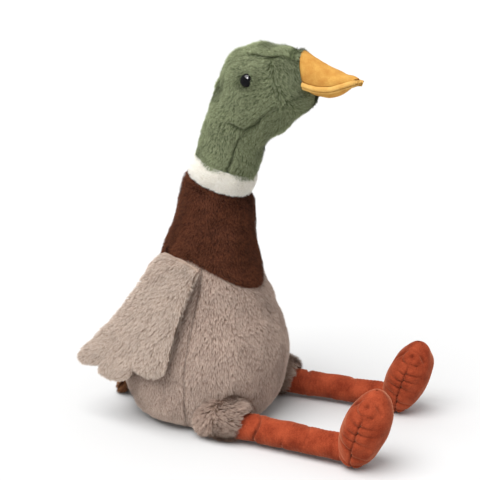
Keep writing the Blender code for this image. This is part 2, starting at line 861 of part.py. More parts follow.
def make_beak(hinge):
    """The felt covers of the beak, the mouth sheet with its brim, and the fibre in the covers."""
    shares = [math.sin(turn) for turn in steps(0, math.pi / 2 * BEAK_END_SHARE, BEAK_ROWS)]
    covers = (
        ("upper_beak", BEAK_LENGTH, BEAK_HALF_WIDTH, BEAK_RISE, RIDGE_SHARE),
        ("lower_beak", LOWER_BEAK_LENGTH, LOWER_BEAK_HALF_WIDTH, -LOWER_BEAK_DEPTH, CHIN_SHARE),
    )
    for name, length, half_width, rise, power in covers:
        grids = ([], [], [])
        for share in shares:
            wide = half_width * beak_plan(share)
            high = rise * (1 - share**power)
            for grid, depth in zip(grids, (0.0, FELT, FELT + GAP)):
                grid.append(beak_arch(share * length, wide, high, depth))
        skin, lining, inside = grids
        cover = slab_mesh(name + "_cover", skin, lining)
        place(name + "_cover", cover, GOLD, hinge, FELT_ROUGHNESS)
        place(name + "_stuffing", core_mesh(name + "_stuffing", inside[:-2]), FIBRE, hinge)
    spots = [(-1, 1)] + [(spot, 0) for spot in steps(-1, 1, BEAK_COLUMNS - 2)] + [(1, 1)]
    sheet = []
    for lift in (FELT / 2, -FELT / 2):
        grid = []
        for share in shares:
            row = []
            for spot, brim in spots:
                reach = share * (BEAK_LENGTH + brim * BEAK_BRIM)
                across = spot * (BEAK_HALF_WIDTH * beak_plan(share) + brim * BEAK_BRIM)
                row.append(beak_point(reach, across, lift - brim * BRIM_DROOP))
            grid.append(row)
        sheet.append(grid)
    place("mouth_sheet", slab_mesh("mouth_sheet", *sheet), GOLD, hinge, FELT_ROUGHNESS)


def wing_columns():
    """For each column of a wing: its share of the width, its hem's reach and its fullness."""
    columns = []
    start = 0.0
    for end, reach, front_draw, rear_draw in WING_LOBE_SHARES:
        turns = steps(0, math.pi, LOBE_COLUMNS)
        for turn in turns if start == 0.0 else turns[1:]:
            share = between(start, end, (1 - math.cos(turn)) / 2)
            draw = front_draw if turn < math.pi / 2 else rear_draw
            columns.append((share, reach - draw * (1 - math.sin(turn)), math.sin(turn)))
        start = end
    return columns


def wing_frame(sign):
    """The hinge point of a wing, and the directions back along its seam and out from it."""
    out = Vector((sign * math.cos(WING_HINGE_YAW), math.sin(WING_HINGE_YAW), 0))
    level = Vector((-sign * math.sin(WING_HINGE_YAW), math.cos(WING_HINGE_YAW), 0))
    rise = Vector((0, 0, math.sin(WING_HINGE_RISE)))
    back = level * math.cos(WING_HINGE_RISE) + rise
    origin = Vector((sign * WING_HINGE_OUT, WING_HINGE_BACK, WING_HINGE_HEIGHT))
    return origin, back, out


def quilt_half(full_half, fullness, depth):
    """Half thickness of a quilted flap, a depth inside its face: two layers of fabric at its edge."""
    return between(FABRIC + GAP / 2, full_half, math.sqrt(max(fullness, 0.0))) - depth


def wing_faces(sign, depth):
    """Two grids of a wing, a depth inside its outer and its inner face."""
    origin, back, out = wing_frame(sign)
    faces = ([], [])
    for drop in steps(0.0, 1.0, WING_ROWS):
        lines = ([], [])
        for share, reach, round_share in wing_columns():
            along = drop * reach
            top = origin + back * ((share - 0.5) * WING_TOP_WIDTH)
            run = share * WING_HEM_WIDTH - WING_HEM_START
            hem_out = WING_HEM_OUT - run * math.sin(WING_HEM_YAW)
            hem = Vector((sign * hem_out, run * math.cos(WING_HEM_YAW), WING_HEM_HEIGHT))
            swell = math.sin(math.pi * along)
            middle = top.lerp(hem, along) + out * (WING_BULGE * swell)
            middle -= back * (WING_WAIST * swell * share**2)
            below = min(drop / CHANNEL_START_SHARE, 1.0)
            channel = 1 - below * (1 - CHANNEL_SHARE) * (1 - round_share)
            edge = 1 - abs(2 * share - 1) ** WING_SIDE_SHARE
            edge *= (1 - drop**WING_HEM_SHARE) * (1 - (1 - drop) ** WING_ROOT_SHARE)
            half = quilt_half(WING_THICKNESS / 2, edge * channel**2, depth)
            lines[0].append(middle + out * half)
            lines[1].append(middle - out * half)
        faces[0].append(lines[0])
        faces[1].append(lines[1])
    return faces


def tail_root():
    """The middle of the tail's root, just clear of the middle of the torso's back."""
    return form_point(body_stations(), TAIL_PLACE_SHARE, math.pi) + Vector((0, FABRIC / 2 + GAP, 0))


def tail_faces(depth):
    """Two grids of the tail, a depth inside its upper and its lower face."""
    along = Vector((0, math.cos(TAIL_DROOP), -math.sin(TAIL_DROOP)))
    out = Vector((0, math.sin(TAIL_DROOP), math.cos(TAIL_DROOP)))
    origin = tail_root()
    faces = ([], [])
    for drop in steps(0.0, 1.0, TAIL_ROWS):
        lines = ([], [])
        for across in steps(-1, 1, TAIL_COLUMNS):
            corner = TAIL_CORNER_SHARE * (1 - math.sqrt(1 - across * across))
            width = between(TAIL_ROOT_WIDTH, TAIL_END_WIDTH, drop**2) / 2
            hug = (1 - drop) * (across * width) ** 2 / (2 * TORSO_RADIUS)
            side = Vector((across * width, -hug, 0))
            middle = origin + along * (TAIL_LENGTH * drop * (1 - corner)) + side
            edge = 1 - across**TAIL_EDGE_SHARE
            edge *= (1 - drop**TAIL_EDGE_SHARE) * (1 - (1 - drop) ** TAIL_EDGE_SHARE)
            half = quilt_half(TAIL_THICKNESS / 2, edge, depth)
            lines[0].append(middle + out * half)
            lines[1].append(middle - out * half)
        faces[0].append(lines[0])
        faces[1].append(lines[1])
    return faces


def make_flap(names, faces_at, colour, hinge):
    """A quilted flap: two panels sewn round the edge over a wadding that stops short of it."""
    skin = faces_at(0.0)
    lining = faces_at(FABRIC)
    fill = faces_at(FABRIC + 2 * GAP)
    first, second, wadding = names
    place(first, slab_mesh(first, skin[0], lining[0]), colour, hinge)
    place(second, slab_mesh(second, skin[1], lining[1]), colour, hinge)
    inside = [[row[1:-1] for row in face[1:-1]] for face in fill]
    place(wadding, slab_mesh(wadding, inside[0], inside[1]), FIBRE, hinge)


def make_wing(side, sign):
    """One wing on the hinge along its top seam."""
    hinge = pivot(side + "_wing_hinge", wing_frame(sign)[0])
    names = [side + "_wing_" + piece for piece in ("outer_panel", "inner_panel", "wadding")]
    make_flap(names, lambda depth: wing_faces(sign, depth), TAUPE, hinge)


def make_tail():
    """The tail on the hinge along its root."""
    hinge = pivot("tail_hinge", tail_root())
    names = ("tail_upper_panel", "tail_lower_panel", "tail_wadding")
    make_flap(names, tail_faces, CHESTNUT, hinge)


# Legs. A leg is made in its own frame, whose origin is under the hip, and forward is -Y.


def limb_ring(centre, radius):
    """A ring of a limb about a centre, square to the leg's length."""
    turns = [math.tau * index / LIMB_COLUMNS for index in range(LIMB_COLUMNS)]
    return [centre + Vector((-radius * math.sin(t), 0, radius * math.cos(t))) for t in turns]


def ball_rings(radius, start, end, centre, count):
    """Rings of a ball about a centre, from an angle off the forward axis to another."""
    rings = []
    for angle in steps(start, end, count):
        ahead = Vector((0, -radius * math.cos(angle), 0))
        rings.append(limb_ring(centre + ahead, radius * math.sin(angle)))
    return rings


def leg_rings(ankle):
    """Rings of a leg's tube, from inside the thigh over the round end in the foot's heel."""
    rings = []
    last = 1 - ANKLE_RADIUS / LEG_LENGTH
    for share in steps((THIGH_RADIUS - LEG_RADIUS) / LEG_LENGTH, last, LEG_ROWS):
        centre = Vector((0, -share * LEG_LENGTH, between(LEG_ROOT_HEIGHT, ANKLE_HEIGHT, share)))
        rings.append(limb_ring(centre, between(LEG_RADIUS, ANKLE_RADIUS, share)))
    waist = Vector((0, -between(last, 1, 0.5) * LEG_LENGTH, ANKLE_HEIGHT))
    rings.append(limb_ring(waist, ANKLE_RADIUS * (1 - ANKLE_PINCH_SHARE)))
    return rings + ball_rings(ANKLE_RADIUS, math.pi / 2, ANKLE_OPENING, ankle, ANKLE_ROWS)


def make_leg(side, sign):
    """One leg: thigh, velvet tube and foot, each on its own joint."""
    stand = Matrix.Translation((sign * HIP_SIDE, -HIP_FORWARD, 0))
    stand = stand @ Matrix.Rotation(sign * LEG_SPLAY, 4, "Z")
    hip = Vector((0, 0, HIP_HEIGHT))
    ankle = Vector((0, -LEG_LENGTH, ANKLE_HEIGHT))
    hip_hinge = pivot(side + "_hip_hinge", stand @ hip)
    leg_hinge = pivot(side + "_leg_hinge", stand @ hip, hip_hinge)
    ankle_hinge = pivot(side + "_ankle_hinge", stand @ ankle, leg_hinge)

    def put(name, mesh, colour, parent):
        mesh.transform(stand)
        return place(side + "_" + name, mesh, colour, parent)

    def socket(name, radius, centre):
        name = side + "_" + name
        return cutter(name, ball_mesh(name, [radius] * 3, GAP), stand @ Matrix.Translation(centre))

    rings = ball_rings(THIGH_RADIUS, math.pi - THIGH_OPENING, THIGH_OPENING, hip, THIGH_ROWS)
    thicken(put("thigh_cover", open_mesh("thigh_cover", rings, closed=True), TAUPE, hip_hinge))
    inside = core_mesh("thigh_stuffing", moved_in(rings, FABRIC + GAP))
    put("thigh_stuffing", inside, FIBRE, hip_hinge)

    root = socket("leg_root_tool", THIGH_RADIUS, hip)
    rings = leg_rings(ankle)
    tube = put("leg_tube", open_mesh("leg_tube", rings, closed=True), RUST, leg_hinge)
    thicken(tube, VELVET)
    cut(tube, root)
    inside = core_mesh("leg_stuffing", moved_in(rings, VELVET + GAP))
    cut(put("leg_stuffing", inside, FIBRE, leg_hinge), root)

    heel = socket("heel_socket_tool", ANKLE_RADIUS, ankle)
    stations = foot_stations()
    places = steps(0, len(stations) - 1, FOOT_ROWS)
    front = fixed(FOOT_SEAM_ANGLE)
    seams = (
        (fixed(-FOOT_SEAM_ANGLE), front, SOLE_COLUMNS),
        (front, fixed(math.tau - FOOT_SEAM_ANGLE), UPPER_COLUMNS),
    )
    for name, seam in zip(("foot_sole_panel", "foot_upper_panel"), seams):
        panel = put(name, open_mesh(name, form_patch(stations, places, seam)), RUST, ankle_hinge)
        thicken(panel, VELVET)
        if name == "foot_upper_panel":
            cut(panel, heel)
    rings = moved_in(form_rings(stations, places, seams), VELVET + GAP)
    inside = core_mesh("foot_stuffing", rings[1:-1])
    cut(put("foot_stuffing", inside, FIBRE, ankle_hinge), heel)


def make_duck():
    """Builds every piece of the duck."""
    neck_socket, neck_block = make_neck_tools()
    make_torso(neck_socket, make_hip_sockets())
    neck_hinge = make_neck(neck_block)
    ring_hinge = make_ring(neck_hinge)
    make_head(ring_hinge)
    for side, sign in SIDES:
        make_wing(side, sign)
        make_leg(side, sign)
    make_tail()


for item in list(bpy.data.objects):
    bpy.data.objects.remove(item, do_unlink=True)
DUCK = collection("plush_duck")
CUTTERS = collection("plush_duck_cutters")
make_duck()
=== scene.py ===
"""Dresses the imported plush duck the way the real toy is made.

Every stuffed form is sewn from panels of faux fur, velvet or felt. A furry panel is a knitted
backing, which lies a little under the form's outline, and a cut pile of fine fibres that stands
on it. Seams are grooves where the pile parts. Metres, +Z up, and the duck faces -Y.
"""

import json
import logging
import math
from dataclasses import dataclass, field
from enum import Enum
from functools import cache
from typing import Callable

import bmesh
import bpy
import numpy as np
from bpy.types import Material, Mesh, Node, NodeSocket, NodeTree, Object
from mathutils import Matrix, Vector
from mathutils.bvhtree import BVHTree
from mathutils.kdtree import KDTree


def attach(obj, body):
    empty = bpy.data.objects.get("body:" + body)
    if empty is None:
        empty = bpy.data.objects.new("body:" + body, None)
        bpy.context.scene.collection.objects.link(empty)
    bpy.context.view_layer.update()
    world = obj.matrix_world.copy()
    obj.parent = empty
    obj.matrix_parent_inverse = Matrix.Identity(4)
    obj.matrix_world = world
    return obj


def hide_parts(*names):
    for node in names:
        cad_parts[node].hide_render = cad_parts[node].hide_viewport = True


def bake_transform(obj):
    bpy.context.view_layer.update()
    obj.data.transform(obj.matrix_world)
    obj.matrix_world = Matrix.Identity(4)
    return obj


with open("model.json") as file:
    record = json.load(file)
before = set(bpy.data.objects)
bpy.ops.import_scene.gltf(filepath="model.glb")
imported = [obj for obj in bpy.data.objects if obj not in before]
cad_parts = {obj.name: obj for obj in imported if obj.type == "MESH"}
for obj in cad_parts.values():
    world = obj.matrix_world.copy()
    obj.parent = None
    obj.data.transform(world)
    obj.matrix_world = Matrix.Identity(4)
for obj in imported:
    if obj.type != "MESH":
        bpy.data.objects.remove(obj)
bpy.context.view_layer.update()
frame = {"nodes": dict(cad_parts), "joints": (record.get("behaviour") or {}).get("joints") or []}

LOG = logging.getLogger("plush_duck")
MM = 0.001
PHOTO_WIDTH = 480
BAKE_MAP = "OFBake"
STRAND = "strand"
# Colour attribute of painted shade in seams, creases and hollows, and painted light on lit parts.
PAINTED_SHADE = "crease"

Array = np.ndarray
Inputs = dict[str | int, object]


class Side(Enum):
    """The duck's two sides, with the sign of their X."""

    LEFT = 1
    RIGHT = -1

    @property
    def word(self) -> str:
        """The side's name as the nodes use it."""
        return self.name.lower()


class Edge(Enum):
    """The four edges of a panel's grid, in the order of its rows and columns."""

    BOTTOM = 0
    TOP = 1
    START = 2
    END = 3


# Numbers.


def unit(vectors: Array) -> Array:
    """Each vector at length one.

    Args:
        vectors: Vectors along the last axis.

    Returns:
        The same array with each vector's length made one.
    """
    return vectors / np.maximum(np.linalg.norm(vectors, axis=-1, keepdims=True), 1e-12)


def smoothstep(values: Array) -> Array:
    """A smooth rise from 0 to 1.

    Args:
        values: Numbers of any size.

    Returns:
        0 where a value is below 0, 1 where it is above 1, and a smooth curve between.
    """
    values = np.clip(values, 0, 1)
    return values * values * (3 - 2 * values)


def bell(distance: Array, width: float) -> Array:
    """A share that is 1 at no distance and falls away on both sides.

    Args:
        distance: Distances of either sign, in metres.
        width: The distance at which about a third is left, in metres.

    Returns:
        The share at each distance.
    """
    return np.exp(-((distance / width) ** 2))


def ripple(points: Array, wavelength: float, seed: int) -> Array:
    """Smooth unevenness, as hand stuffing and brushed fibres have.

    Args:
        points: Places, one a row, in metres.
        wavelength: The usual distance from one swelling to the next, in metres.
        seed: Picks one pattern.

    Returns:
        A value for each place, mostly between -1 and 1.
    """
    rng = np.random.default_rng(seed)
    waves = 9
    directions = unit(rng.normal(size=(waves, 3)))
    stretch = rng.uniform(0.7, 1.5, waves)[:, None]
    phases = rng.uniform(0, math.tau, waves)
    turns = points @ (directions * stretch).T * (math.tau / wavelength) + phases
    return np.sin(turns).sum(axis=1) / math.sqrt(waves)


def seam_spacing(columns: int) -> Array:
    """Shares of a panel's width, closer together at its seams.

    Args:
        columns: How many there are.

    Returns:
        The shares, from 0 to 1.
    """
    share = np.linspace(0, 1, columns)
    return share - 0.8 * np.sin(math.tau * share) / math.tau


def joint_place(name: str) -> Array:
    """The place of a joint of the frame.

    Args:
        name: The joint's name.

    Returns:
        Its point, in metres.
    """
    found = [joint for joint in frame["joints"] if joint["name"] == name]
    return np.array(found[0]["pos_m"], float)


def linear(code: str) -> tuple[float, float, float, float]:
    """An sRGB hex colour as linear light.

    Args:
        code: The colour, such as "#a89684".

    Returns:
        Red, green, blue and an alpha of one.
    """
    shares = [int(code[start : start + 2], 16) / 255 for start in (1, 3, 5)]
    light = [s / 12.92 if s <= 0.04045 else ((s + 0.055) / 1.055) ** 2.4 for s in shares]
    return light[0], light[1], light[2], 1.0


# Stuffed forms. A station holds forward, height, tilt, half width and half depth, and angles run
# round a form from its front toward the duck's left.


@dataclass(frozen=True)
class StuffedForm:
    """A swelling form through oval stations."""

    stations: Array

    def station(self, places: Array) -> Array:
        """The station at each place, on a smooth curve through the form's own stations.

        Args:
            places: Places along the form, counted in stations.

        Returns:
            One row of five values for each place.
        """
        last = len(self.stations) - 1
        places = np.clip(places, 0, last)
        row = np.minimum(places.astype(int), last - 1)
        part = (places - row)[:, None]
        before = self.stations[np.maximum(row - 1, 0)]
        start = self.stations[row]
        end = self.stations[row + 1]
        after = self.stations[np.minimum(row + 2, last)]
        in_slope = (end - before) / 2
        out_slope = (after - start) / 2
        rise = end - start
        bend = 3 * rise - 2 * in_slope - out_slope
        turn = in_slope + out_slope - 2 * rise
        return start + part * (in_slope + part * (bend + part * turn))

    def points(self, places: Array, angles: Array) -> Array:
        """Points of the form's outline.

        Args:
            places: Places along the form.
            angles: Angles round it, one for each place.

        Returns:
            Points with a last axis of three, in the shape of the places.
        """
        shape = places.shape
        forward, height, tilt, half_width, half_depth = self.station(places.ravel()).T
        angles = angles.ravel()
        ahead = half_depth * np.cos(angles)
        across = half_width * np.sin(angles)
        found = np.stack(
            [across, -forward - ahead * np.cos(tilt), height - ahead * np.sin(tilt)], axis=1
        )
        return found.reshape(*shape, 3)

    def crossing(self, angles: Array, low: float, high: float, outside: Callable) -> Array:
        """Where the form passes through a round surface about a joint.

        Args:
            angles: Angles round the form.
            low: A place on one side of the surface.
            high: A place on the other side.
            outside: Says of each point whether it is on the low side.

        Returns:
            The place of the crossing at each angle.
        """
        lows = np.full(angles.shape, low)
        highs = np.full(angles.shape, high)
        for _ in range(30):
            middle = (lows + highs) / 2
            below = outside(self.points(middle, angles))
            lows = np.where(below, middle, lows)
            highs = np.where(below, highs, middle)
        return (lows + highs) / 2


@dataclass
class Cloth:
    """A patch of cloth as a grid, with what its pile needs to know at each point.

    Attributes:
        grid: The outline's points, rows by columns by three.
        closed: Whether each row joins up.
        turned: Whether the outside is on the other side of the grid.
    """

    grid: Array
    closed: bool = False
    turned: bool = False
    combs: Array = field(init=False)
    lengths: Array = field(init=False)
    # Painted light and shade at each point: below 1 darkens the colour, above 1 lightens it.
    shades: Array = field(init=False)
    outward: Array = field(init=False)

    def __post_init__(self) -> None:
        """Finds the outward directions, and combs the pile down the rows."""
        self.outward = self.find_outward()
        self.combs = -unit(np.gradient(self.grid, axis=0))
        self.lengths = np.ones(self.grid.shape[:2])
        self.shades = np.ones(self.grid.shape[:2])

    def find_outward(self) -> Array:
        """The direction out of the cloth at each point."""
        along = np.gradient(self.grid, axis=0)
        if self.closed:
            across = np.roll(self.grid, -1, axis=1) - np.roll(self.grid, 1, axis=1)
        else:
            across = np.gradient(self.grid, axis=1)
        found = unit(np.cross(across, along))
        return -found if self.turned else found

    def edge_distance(self, edge: Edge) -> Array:
        """How far each point lies from one edge, along the cloth.

        Args:
            edge: The edge to measure from.

        Returns:
            Distances in metres, one for each point.
        """
        axis = 0 if edge in (Edge.BOTTOM, Edge.TOP) else 1
        steps = np.linalg.norm(np.diff(self.grid, axis=axis), axis=2)
        start = np.zeros_like(np.take(steps, [0], axis=axis))
        runs = np.cumsum(np.concatenate([start, steps], axis=axis), axis=axis)
        if edge in (Edge.BOTTOM, Edge.START):
            return runs
        return np.take(runs, [-1], axis=axis) - runs

    def move(self, heights: Array | float) -> None:
        """Moves the cloth out, or in where a height is negative.

        Args:
            heights: One height for each point, or one for all, in metres.
        """
        heights = np.broadcast_to(heights, self.grid.shape[:2])
        self.grid = self.grid + self.outward * heights[..., None]

    def swell(self, wavelength: float, height: float, seed: int) -> None:
        """Gives the cloth the soft unevenness of its filling.

        Args:
            wavelength: Distance between swellings, in metres.
            height: Their height, in metres.
            seed: Picks one pattern.
        """
        waves = ripple(self.grid.reshape(-1, 3), wavelength, seed)
        self.move(height * waves.reshape(self.grid.shape[:2]))

    def line_distance(self, line: Array) -> Array:
        """How far each point lies from a line of points.

        Args:
            line: The line's points, one a row.

        Returns:
            Distances in metres, one for each point.
        """
        found = np.full(self.grid.shape[:2], np.inf)
        for start, end in zip(line, line[1:]):
            run = end - start
            share = np.clip((self.grid - start) @ run / (run @ run), 0, 1)
            gap = np.linalg.norm(self.grid - start - share[..., None] * run, axis=-1)
            found = np.minimum(found, gap)
        return found

    def sew(
        self,
        distance: Array,
        depth: Array | float,
        width: float,
        part: Array | float = 0.0,
        shadow: Array | float = 0.0,
    ) -> None:
        """Draws the cloth in along a seam, where the pile is short and stands in shadow.

        Args:
            distance: Each point's distance from the seam, in metres.
            depth: How deep the groove is, in metres.
            width: How wide it is, in metres.
            part: The share of the pile's length that is lost at the seam.
            shadow: The share of the pile's lightness that is lost there.
        """
        closeness = bell(distance, width)
        self.move(-depth * closeness)
        self.lengths = self.lengths * (1 - part * closeness)
        self.shades = self.shades * (1 - shadow * closeness)

    def join(self, edge: Edge, sharp: Array | float = 1.0) -> None:
        """Sews one edge to the next panel: a soft valley with a sharp parting at its foot.

        Args:
            edge: The edge.
            sharp: How clearly the parting shows, as a share for all or for each point.
        """
        distance = self.edge_distance(edge)
        self.sew(distance, depth=0.5 * MM * sharp, width=3.6 * MM, part=0.1 * sharp)
        self.sew(distance, depth=0.9 * MM, width=1.0 * MM, part=0.7 * sharp, shadow=0.5 * sharp)
        away = unit(np.gradient(self.grid, axis=0 if edge in (Edge.BOTTOM, Edge.TOP) else 1))
        if edge in (Edge.TOP, Edge.END):
            away = -away
        close = np.exp(-distance / (2.5 * MM)) * sharp
        self.combs = unit(self.combs + away * close[..., None])

    def face(self, toward: Array) -> None:
        """Makes the side that looks one way the outside.

        Args:
            toward: A direction.
        """
        if (self.outward @ toward).mean() < 0:
            self.turned = not self.turned
            self.outward = -self.outward

    def rest_on(self, height: float) -> None:
        """Lets no point lie lower than a height, as on a floor.

        Args:
            height: The height, in metres.
        """
        self.grid[..., 2] = np.maximum(self.grid[..., 2], height)

    def flat_faces(self, start: int = 0) -> Array:
        """The quads of the cloth, facing out.

        Args:
            start: The number of the first point.

        Returns:
            One row of four point numbers for each quad.
        """
        rows, columns = self.grid.shape[:2]
        across = np.arange(columns if self.closed else columns - 1)
        after = (across + 1) % columns
        down = np.arange(rows - 1)[:, None] * columns + start
        quads = [down + across, down + after, down + columns + after, down + columns + across]
        faces = np.stack(quads, axis=-1).reshape(-1, 4)
        return faces[:, ::-1] if self.turned else faces

    def sheet(self, name: str, thickness: float) -> Mesh:
        """The cloth as a closed sheet, once its outward directions are found again.

        Args:
            name: The mesh's name.
            thickness: How far the sheet reaches under its face, in metres.

        Returns:
            The mesh, with the cloth's painted light and shade in a colour attribute.
        """
        self.outward = self.find_outward()
        rows, columns = self.grid.shape[:2]
        count = rows * columns
        lining = self.grid - self.outward * thickness
        points = np.concatenate([self.grid.reshape(-1, 3), lining.reshape(-1, 3)])
        faces = [self.flat_faces(), self.flat_faces(count)[:, ::-1]]
        lines = [np.arange(columns), (rows - 1) * columns + np.arange(columns)[::-1]]
        if not self.closed:
            across = np.arange(rows) * columns
            lines = [lines[0], across + columns - 1, lines[1], across[::-1]]
        for line in lines:
            if self.closed:
                line = np.append(line, line[0])
            rim = np.stack([line[1:], line[:-1], line[:-1] + count, line[1:] + count], axis=1)
            faces.append(rim[:, ::-1] if self.turned else rim)
        made = mesh_of(name, points, np.concatenate(faces))
        shades = np.repeat(np.tile(self.shades.ravel(), 2), 4)
        # The attribute holds the cloth's painted light and shade.
        attribute = made.color_attributes.new(PAINTED_SHADE, "FLOAT_COLOR", "POINT")
        attribute.data.foreach_set("color", shades)
        return made


def mesh_of(name: str, points: Array, faces: Array | list) -> Mesh:
    """A smooth-shaded mesh.

    Args:
        name: The mesh's name.
        points: Its points, one a row.
        faces: Its faces as point numbers.

    Returns:
        The mesh.
    """
    made = bpy.data.meshes.new(name)
    made.from_pydata(points.tolist(), [], [tuple(face) for face in np.asarray(faces).tolist()])
    made.shade_smooth()
    made.update()
    return made


def turned_mesh(name: str, profile: Array, segments: int) -> Mesh:
    """A closed solid turned about Z.

    Args:
        name: The mesh's name.
        profile: Radius and height from the top's middle to the bottom's middle.
        segments: How many sides the turning has.

    Returns:
        The mesh.
    """
    build = bmesh.new()
    corners = [build.verts.new((radius, 0, height)) for radius, height in profile.tolist()]
    for start, end in zip(corners, corners[1:]):
        build.edges.new((start, end))
    outline = build.verts[:] + build.edges[:]
    bmesh.ops.spin(
        build, geom=outline, cent=(0, 0, 0), axis=(0, 0, 1), angle=math.tau, steps=segments
    )
    bmesh.ops.remove_doubles(build, verts=build.verts, dist=0.02 * MM)
    bmesh.ops.recalc_face_normals(build, faces=build.faces)
    made = bpy.data.meshes.new(name)
    build.to_mesh(made)
    build.free()
    made.shade_smooth()
    return made


# Pile.


@dataclass(frozen=True)
class Pile:
    """The cut pile of a faux fur, drawn as coarser fibres than the real ones so that they show.

    Attributes:
        length: A fibre's length, in metres.
        width: Its width at the root, in metres.
        per_square_mm: How many stand on a square millimetre.
        rise: How steeply they stand, from lying flat, in degrees.
        swirl: How far the combing wanders, in degrees.
        tuft: How far apart the tufts are, in metres.
        gather: How far the tips of a tuft draw together, as a share.
        waver: How far the fibres' rise changes from place to place, in radians.
        stretch: How much longer than wide a tuft is where the pile hangs.
        comb_wave: How far apart the turns of the combing are, in metres.
        rise_wave: How far apart the changes of the rise are, in metres.
        scatter: How much single fibres rise more or less than their neighbours, in radians.
        rises: The least and the greatest rise, in radians.
        uneven: The shortest and the longest fibre, as shares of the length.
    """

    length: float
    width: float
    per_square_mm: float
    rise: float = 38
    swirl: float = 22
    tuft: float = 4 * MM
    gather: float = 0.45
    waver: float = 0.16
    stretch: float = 1.0
    comb_wave: float = 30 * MM
    rise_wave: float = 13 * MM
    scatter: float = 0.14
    rises: tuple[float, float] = (0.12, 1.45)
    uneven: tuple[float, float] = (0.75, 1.15)

    def grow(self, name: str, cloth: Cloth, seed: int, floor: float = 0.4 * MM) -> Mesh:
        """Plants the pile on a cloth.

        Args:
            name: The mesh's name.
            cloth: The cloth.
            seed: Picks one scatter of fibres.
            floor: No fibre reaches lower than this height.

        Returns:
            One mesh of all the fibres, each a narrow leaf of two faces with its own place in
            the bake map, and the fibres' shades in a colour attribute.
        """
        rng = np.random.default_rng(seed)
        quads = cloth.flat_faces()
        corners = np.concatenate([quads[:, [0, 1, 2]], quads[:, [0, 2, 3]]])
        places = cloth.grid.reshape(-1, 3)
        first, second, third = (places[corners[:, index]] for index in range(3))
        areas = np.linalg.norm(np.cross(second - first, third - first), axis=1) / 2
        count = int(areas.sum() * self.per_square_mm / MM**2)
        chosen = np.searchsorted(np.cumsum(areas) / areas.sum(), rng.random(count))
        chosen = corners[np.minimum(chosen, len(corners) - 1)]
        across = np.sort(rng.random((count, 2)), axis=1)
        shares = np.stack([across[:, 0], across[:, 1] - across[:, 0], 1 - across[:, 1]], axis=1)

        def spread(values: Array) -> Array:
            """The cloth's values at the fibres' roots."""
            return np.einsum("nk,nkd->nd", shares, values.reshape(len(places), -1)[chosen])

        roots = spread(cloth.grid)
        out = unit(spread(cloth.outward))
        comb = spread(cloth.combs)
        comb = unit(comb - out * (comb * out).sum(axis=1, keepdims=True))
        wander = ripple(roots, self.comb_wave, seed + 1) + 0.5 * rng.normal(size=count)
        turn = math.radians(self.swirl) * wander
        comb = comb * np.cos(turn)[:, None] + np.cross(out, comb) * np.sin(turn)[:, None]
        rise = math.radians(self.rise) + self.waver * ripple(roots, self.rise_wave, seed + 2)
        rise += self.scatter * rng.normal(size=count)
        rise = np.clip(rise, *self.rises)[:, None]
        length = (self.length * rng.uniform(*self.uneven, count))[:, None] * spread(cloth.lengths)
        lean = comb * np.cos(rise) + out * np.sin(rise)
        tips = roots + lean * length
        tuft, tone = self.tufts(roots, rng)
        tips += (tips[tuft] - tips) * (self.gather * rng.random(count) ** 0.5)[:, None]
        middles = roots * 0.45 + tips * 0.55 + out * length * 0.09
        side = unit(np.cross(tips - roots, out)) * (self.width / 2)
        roots = roots - out * 0.3 * MM
        waist = side * 0.85
        leaf = [roots - side, roots + side, middles + waist, middles - waist, tips]
        points = np.stack(leaf, axis=1).reshape(-1, 3)
        points[:, 2] = np.maximum(points[:, 2], floor)
        made = self.leaves(name, points, count)
        shades = np.ones((count, 5, 4))
        shades[:, :, 0] = (0.0, 0.0, 0.6, 0.6, 1.0)
        shades[:, :, 1] = rng.random(count)[:, None]
        shades[:, :, 2] = tone[:, None]
        # The alpha carries the cloth's painted light and shade to each fibre.
        shades[:, :, 3] = spread(cloth.shades)
        attribute = made.color_attributes.new(STRAND, "FLOAT_COLOR", "POINT")
        attribute.data.foreach_set("color", shades.ravel())
        return made

    def tufts(self, roots: Array, rng: np.random.Generator) -> tuple[Array, Array]:
        """Shares the fibres out among tufts.

        Args:
            roots: The fibres' roots.
            rng: The source of the scatter.

        Returns:
            For each fibre, the number of its tuft's middle fibre and its tuft's shade.
        """
        area = len(roots) / self.per_square_mm * MM**2
        roots = roots * np.array([1, 1, 1 / self.stretch])
        middles = rng.choice(len(roots), max(int(area / self.tuft**2), 1), replace=False)
        tree = KDTree(len(middles))
        for number in middles.tolist():
            tree.insert(roots[number], number)
        tree.balance()
        nearest = np.array([tree.find(root)[1] for root in roots])
        tones = rng.random(len(roots))
        return nearest, tones[nearest]

    @staticmethod
    def leaves(name: str, points: Array, count: int) -> Mesh:
        """The mesh of the fibres, with the bake map.

        Args:
            name: The mesh's name.
            points: Five points for each fibre.
            count: How many fibres there are.

        Returns:
            The mesh.
        """
        made = bpy.data.meshes.new(name)
        pattern = np.array([0, 1, 2, 3, 3, 2, 4])
        loops = (np.arange(count)[:, None] * 5 + pattern).ravel()
        made.vertices.add(len(points))
        made.vertices.foreach_set("co", points.astype(np.float32).ravel())
        made.loops.add(len(loops))
        made.loops.foreach_set("vertex_index", loops.astype(np.int32))
        made.polygons.add(2 * count)
        starts = (np.arange(count)[:, None] * 7 + np.array([0, 4])).ravel()
        made.polygons.foreach_set("loop_start", starts.astype(np.int32))
        made.update(calc_edges=True)
        made.shade_smooth()
        side = math.ceil(math.sqrt(count))
        number = np.arange(count)
        low = np.stack([number % side, number // side], axis=1)
        leaf = np.array([[0.1, 0.1], [0.9, 0.1], [0.9, 0.6], [0.1, 0.6], [0.5, 0.95]])
        spots = (low[:, None, :] + leaf[pattern]) / side
        layer = made.uv_layers.new(name=BAKE_MAP)
        layer.data.foreach_set("uv", spots.astype(np.float32).ravel())
        return made


# Finishes.


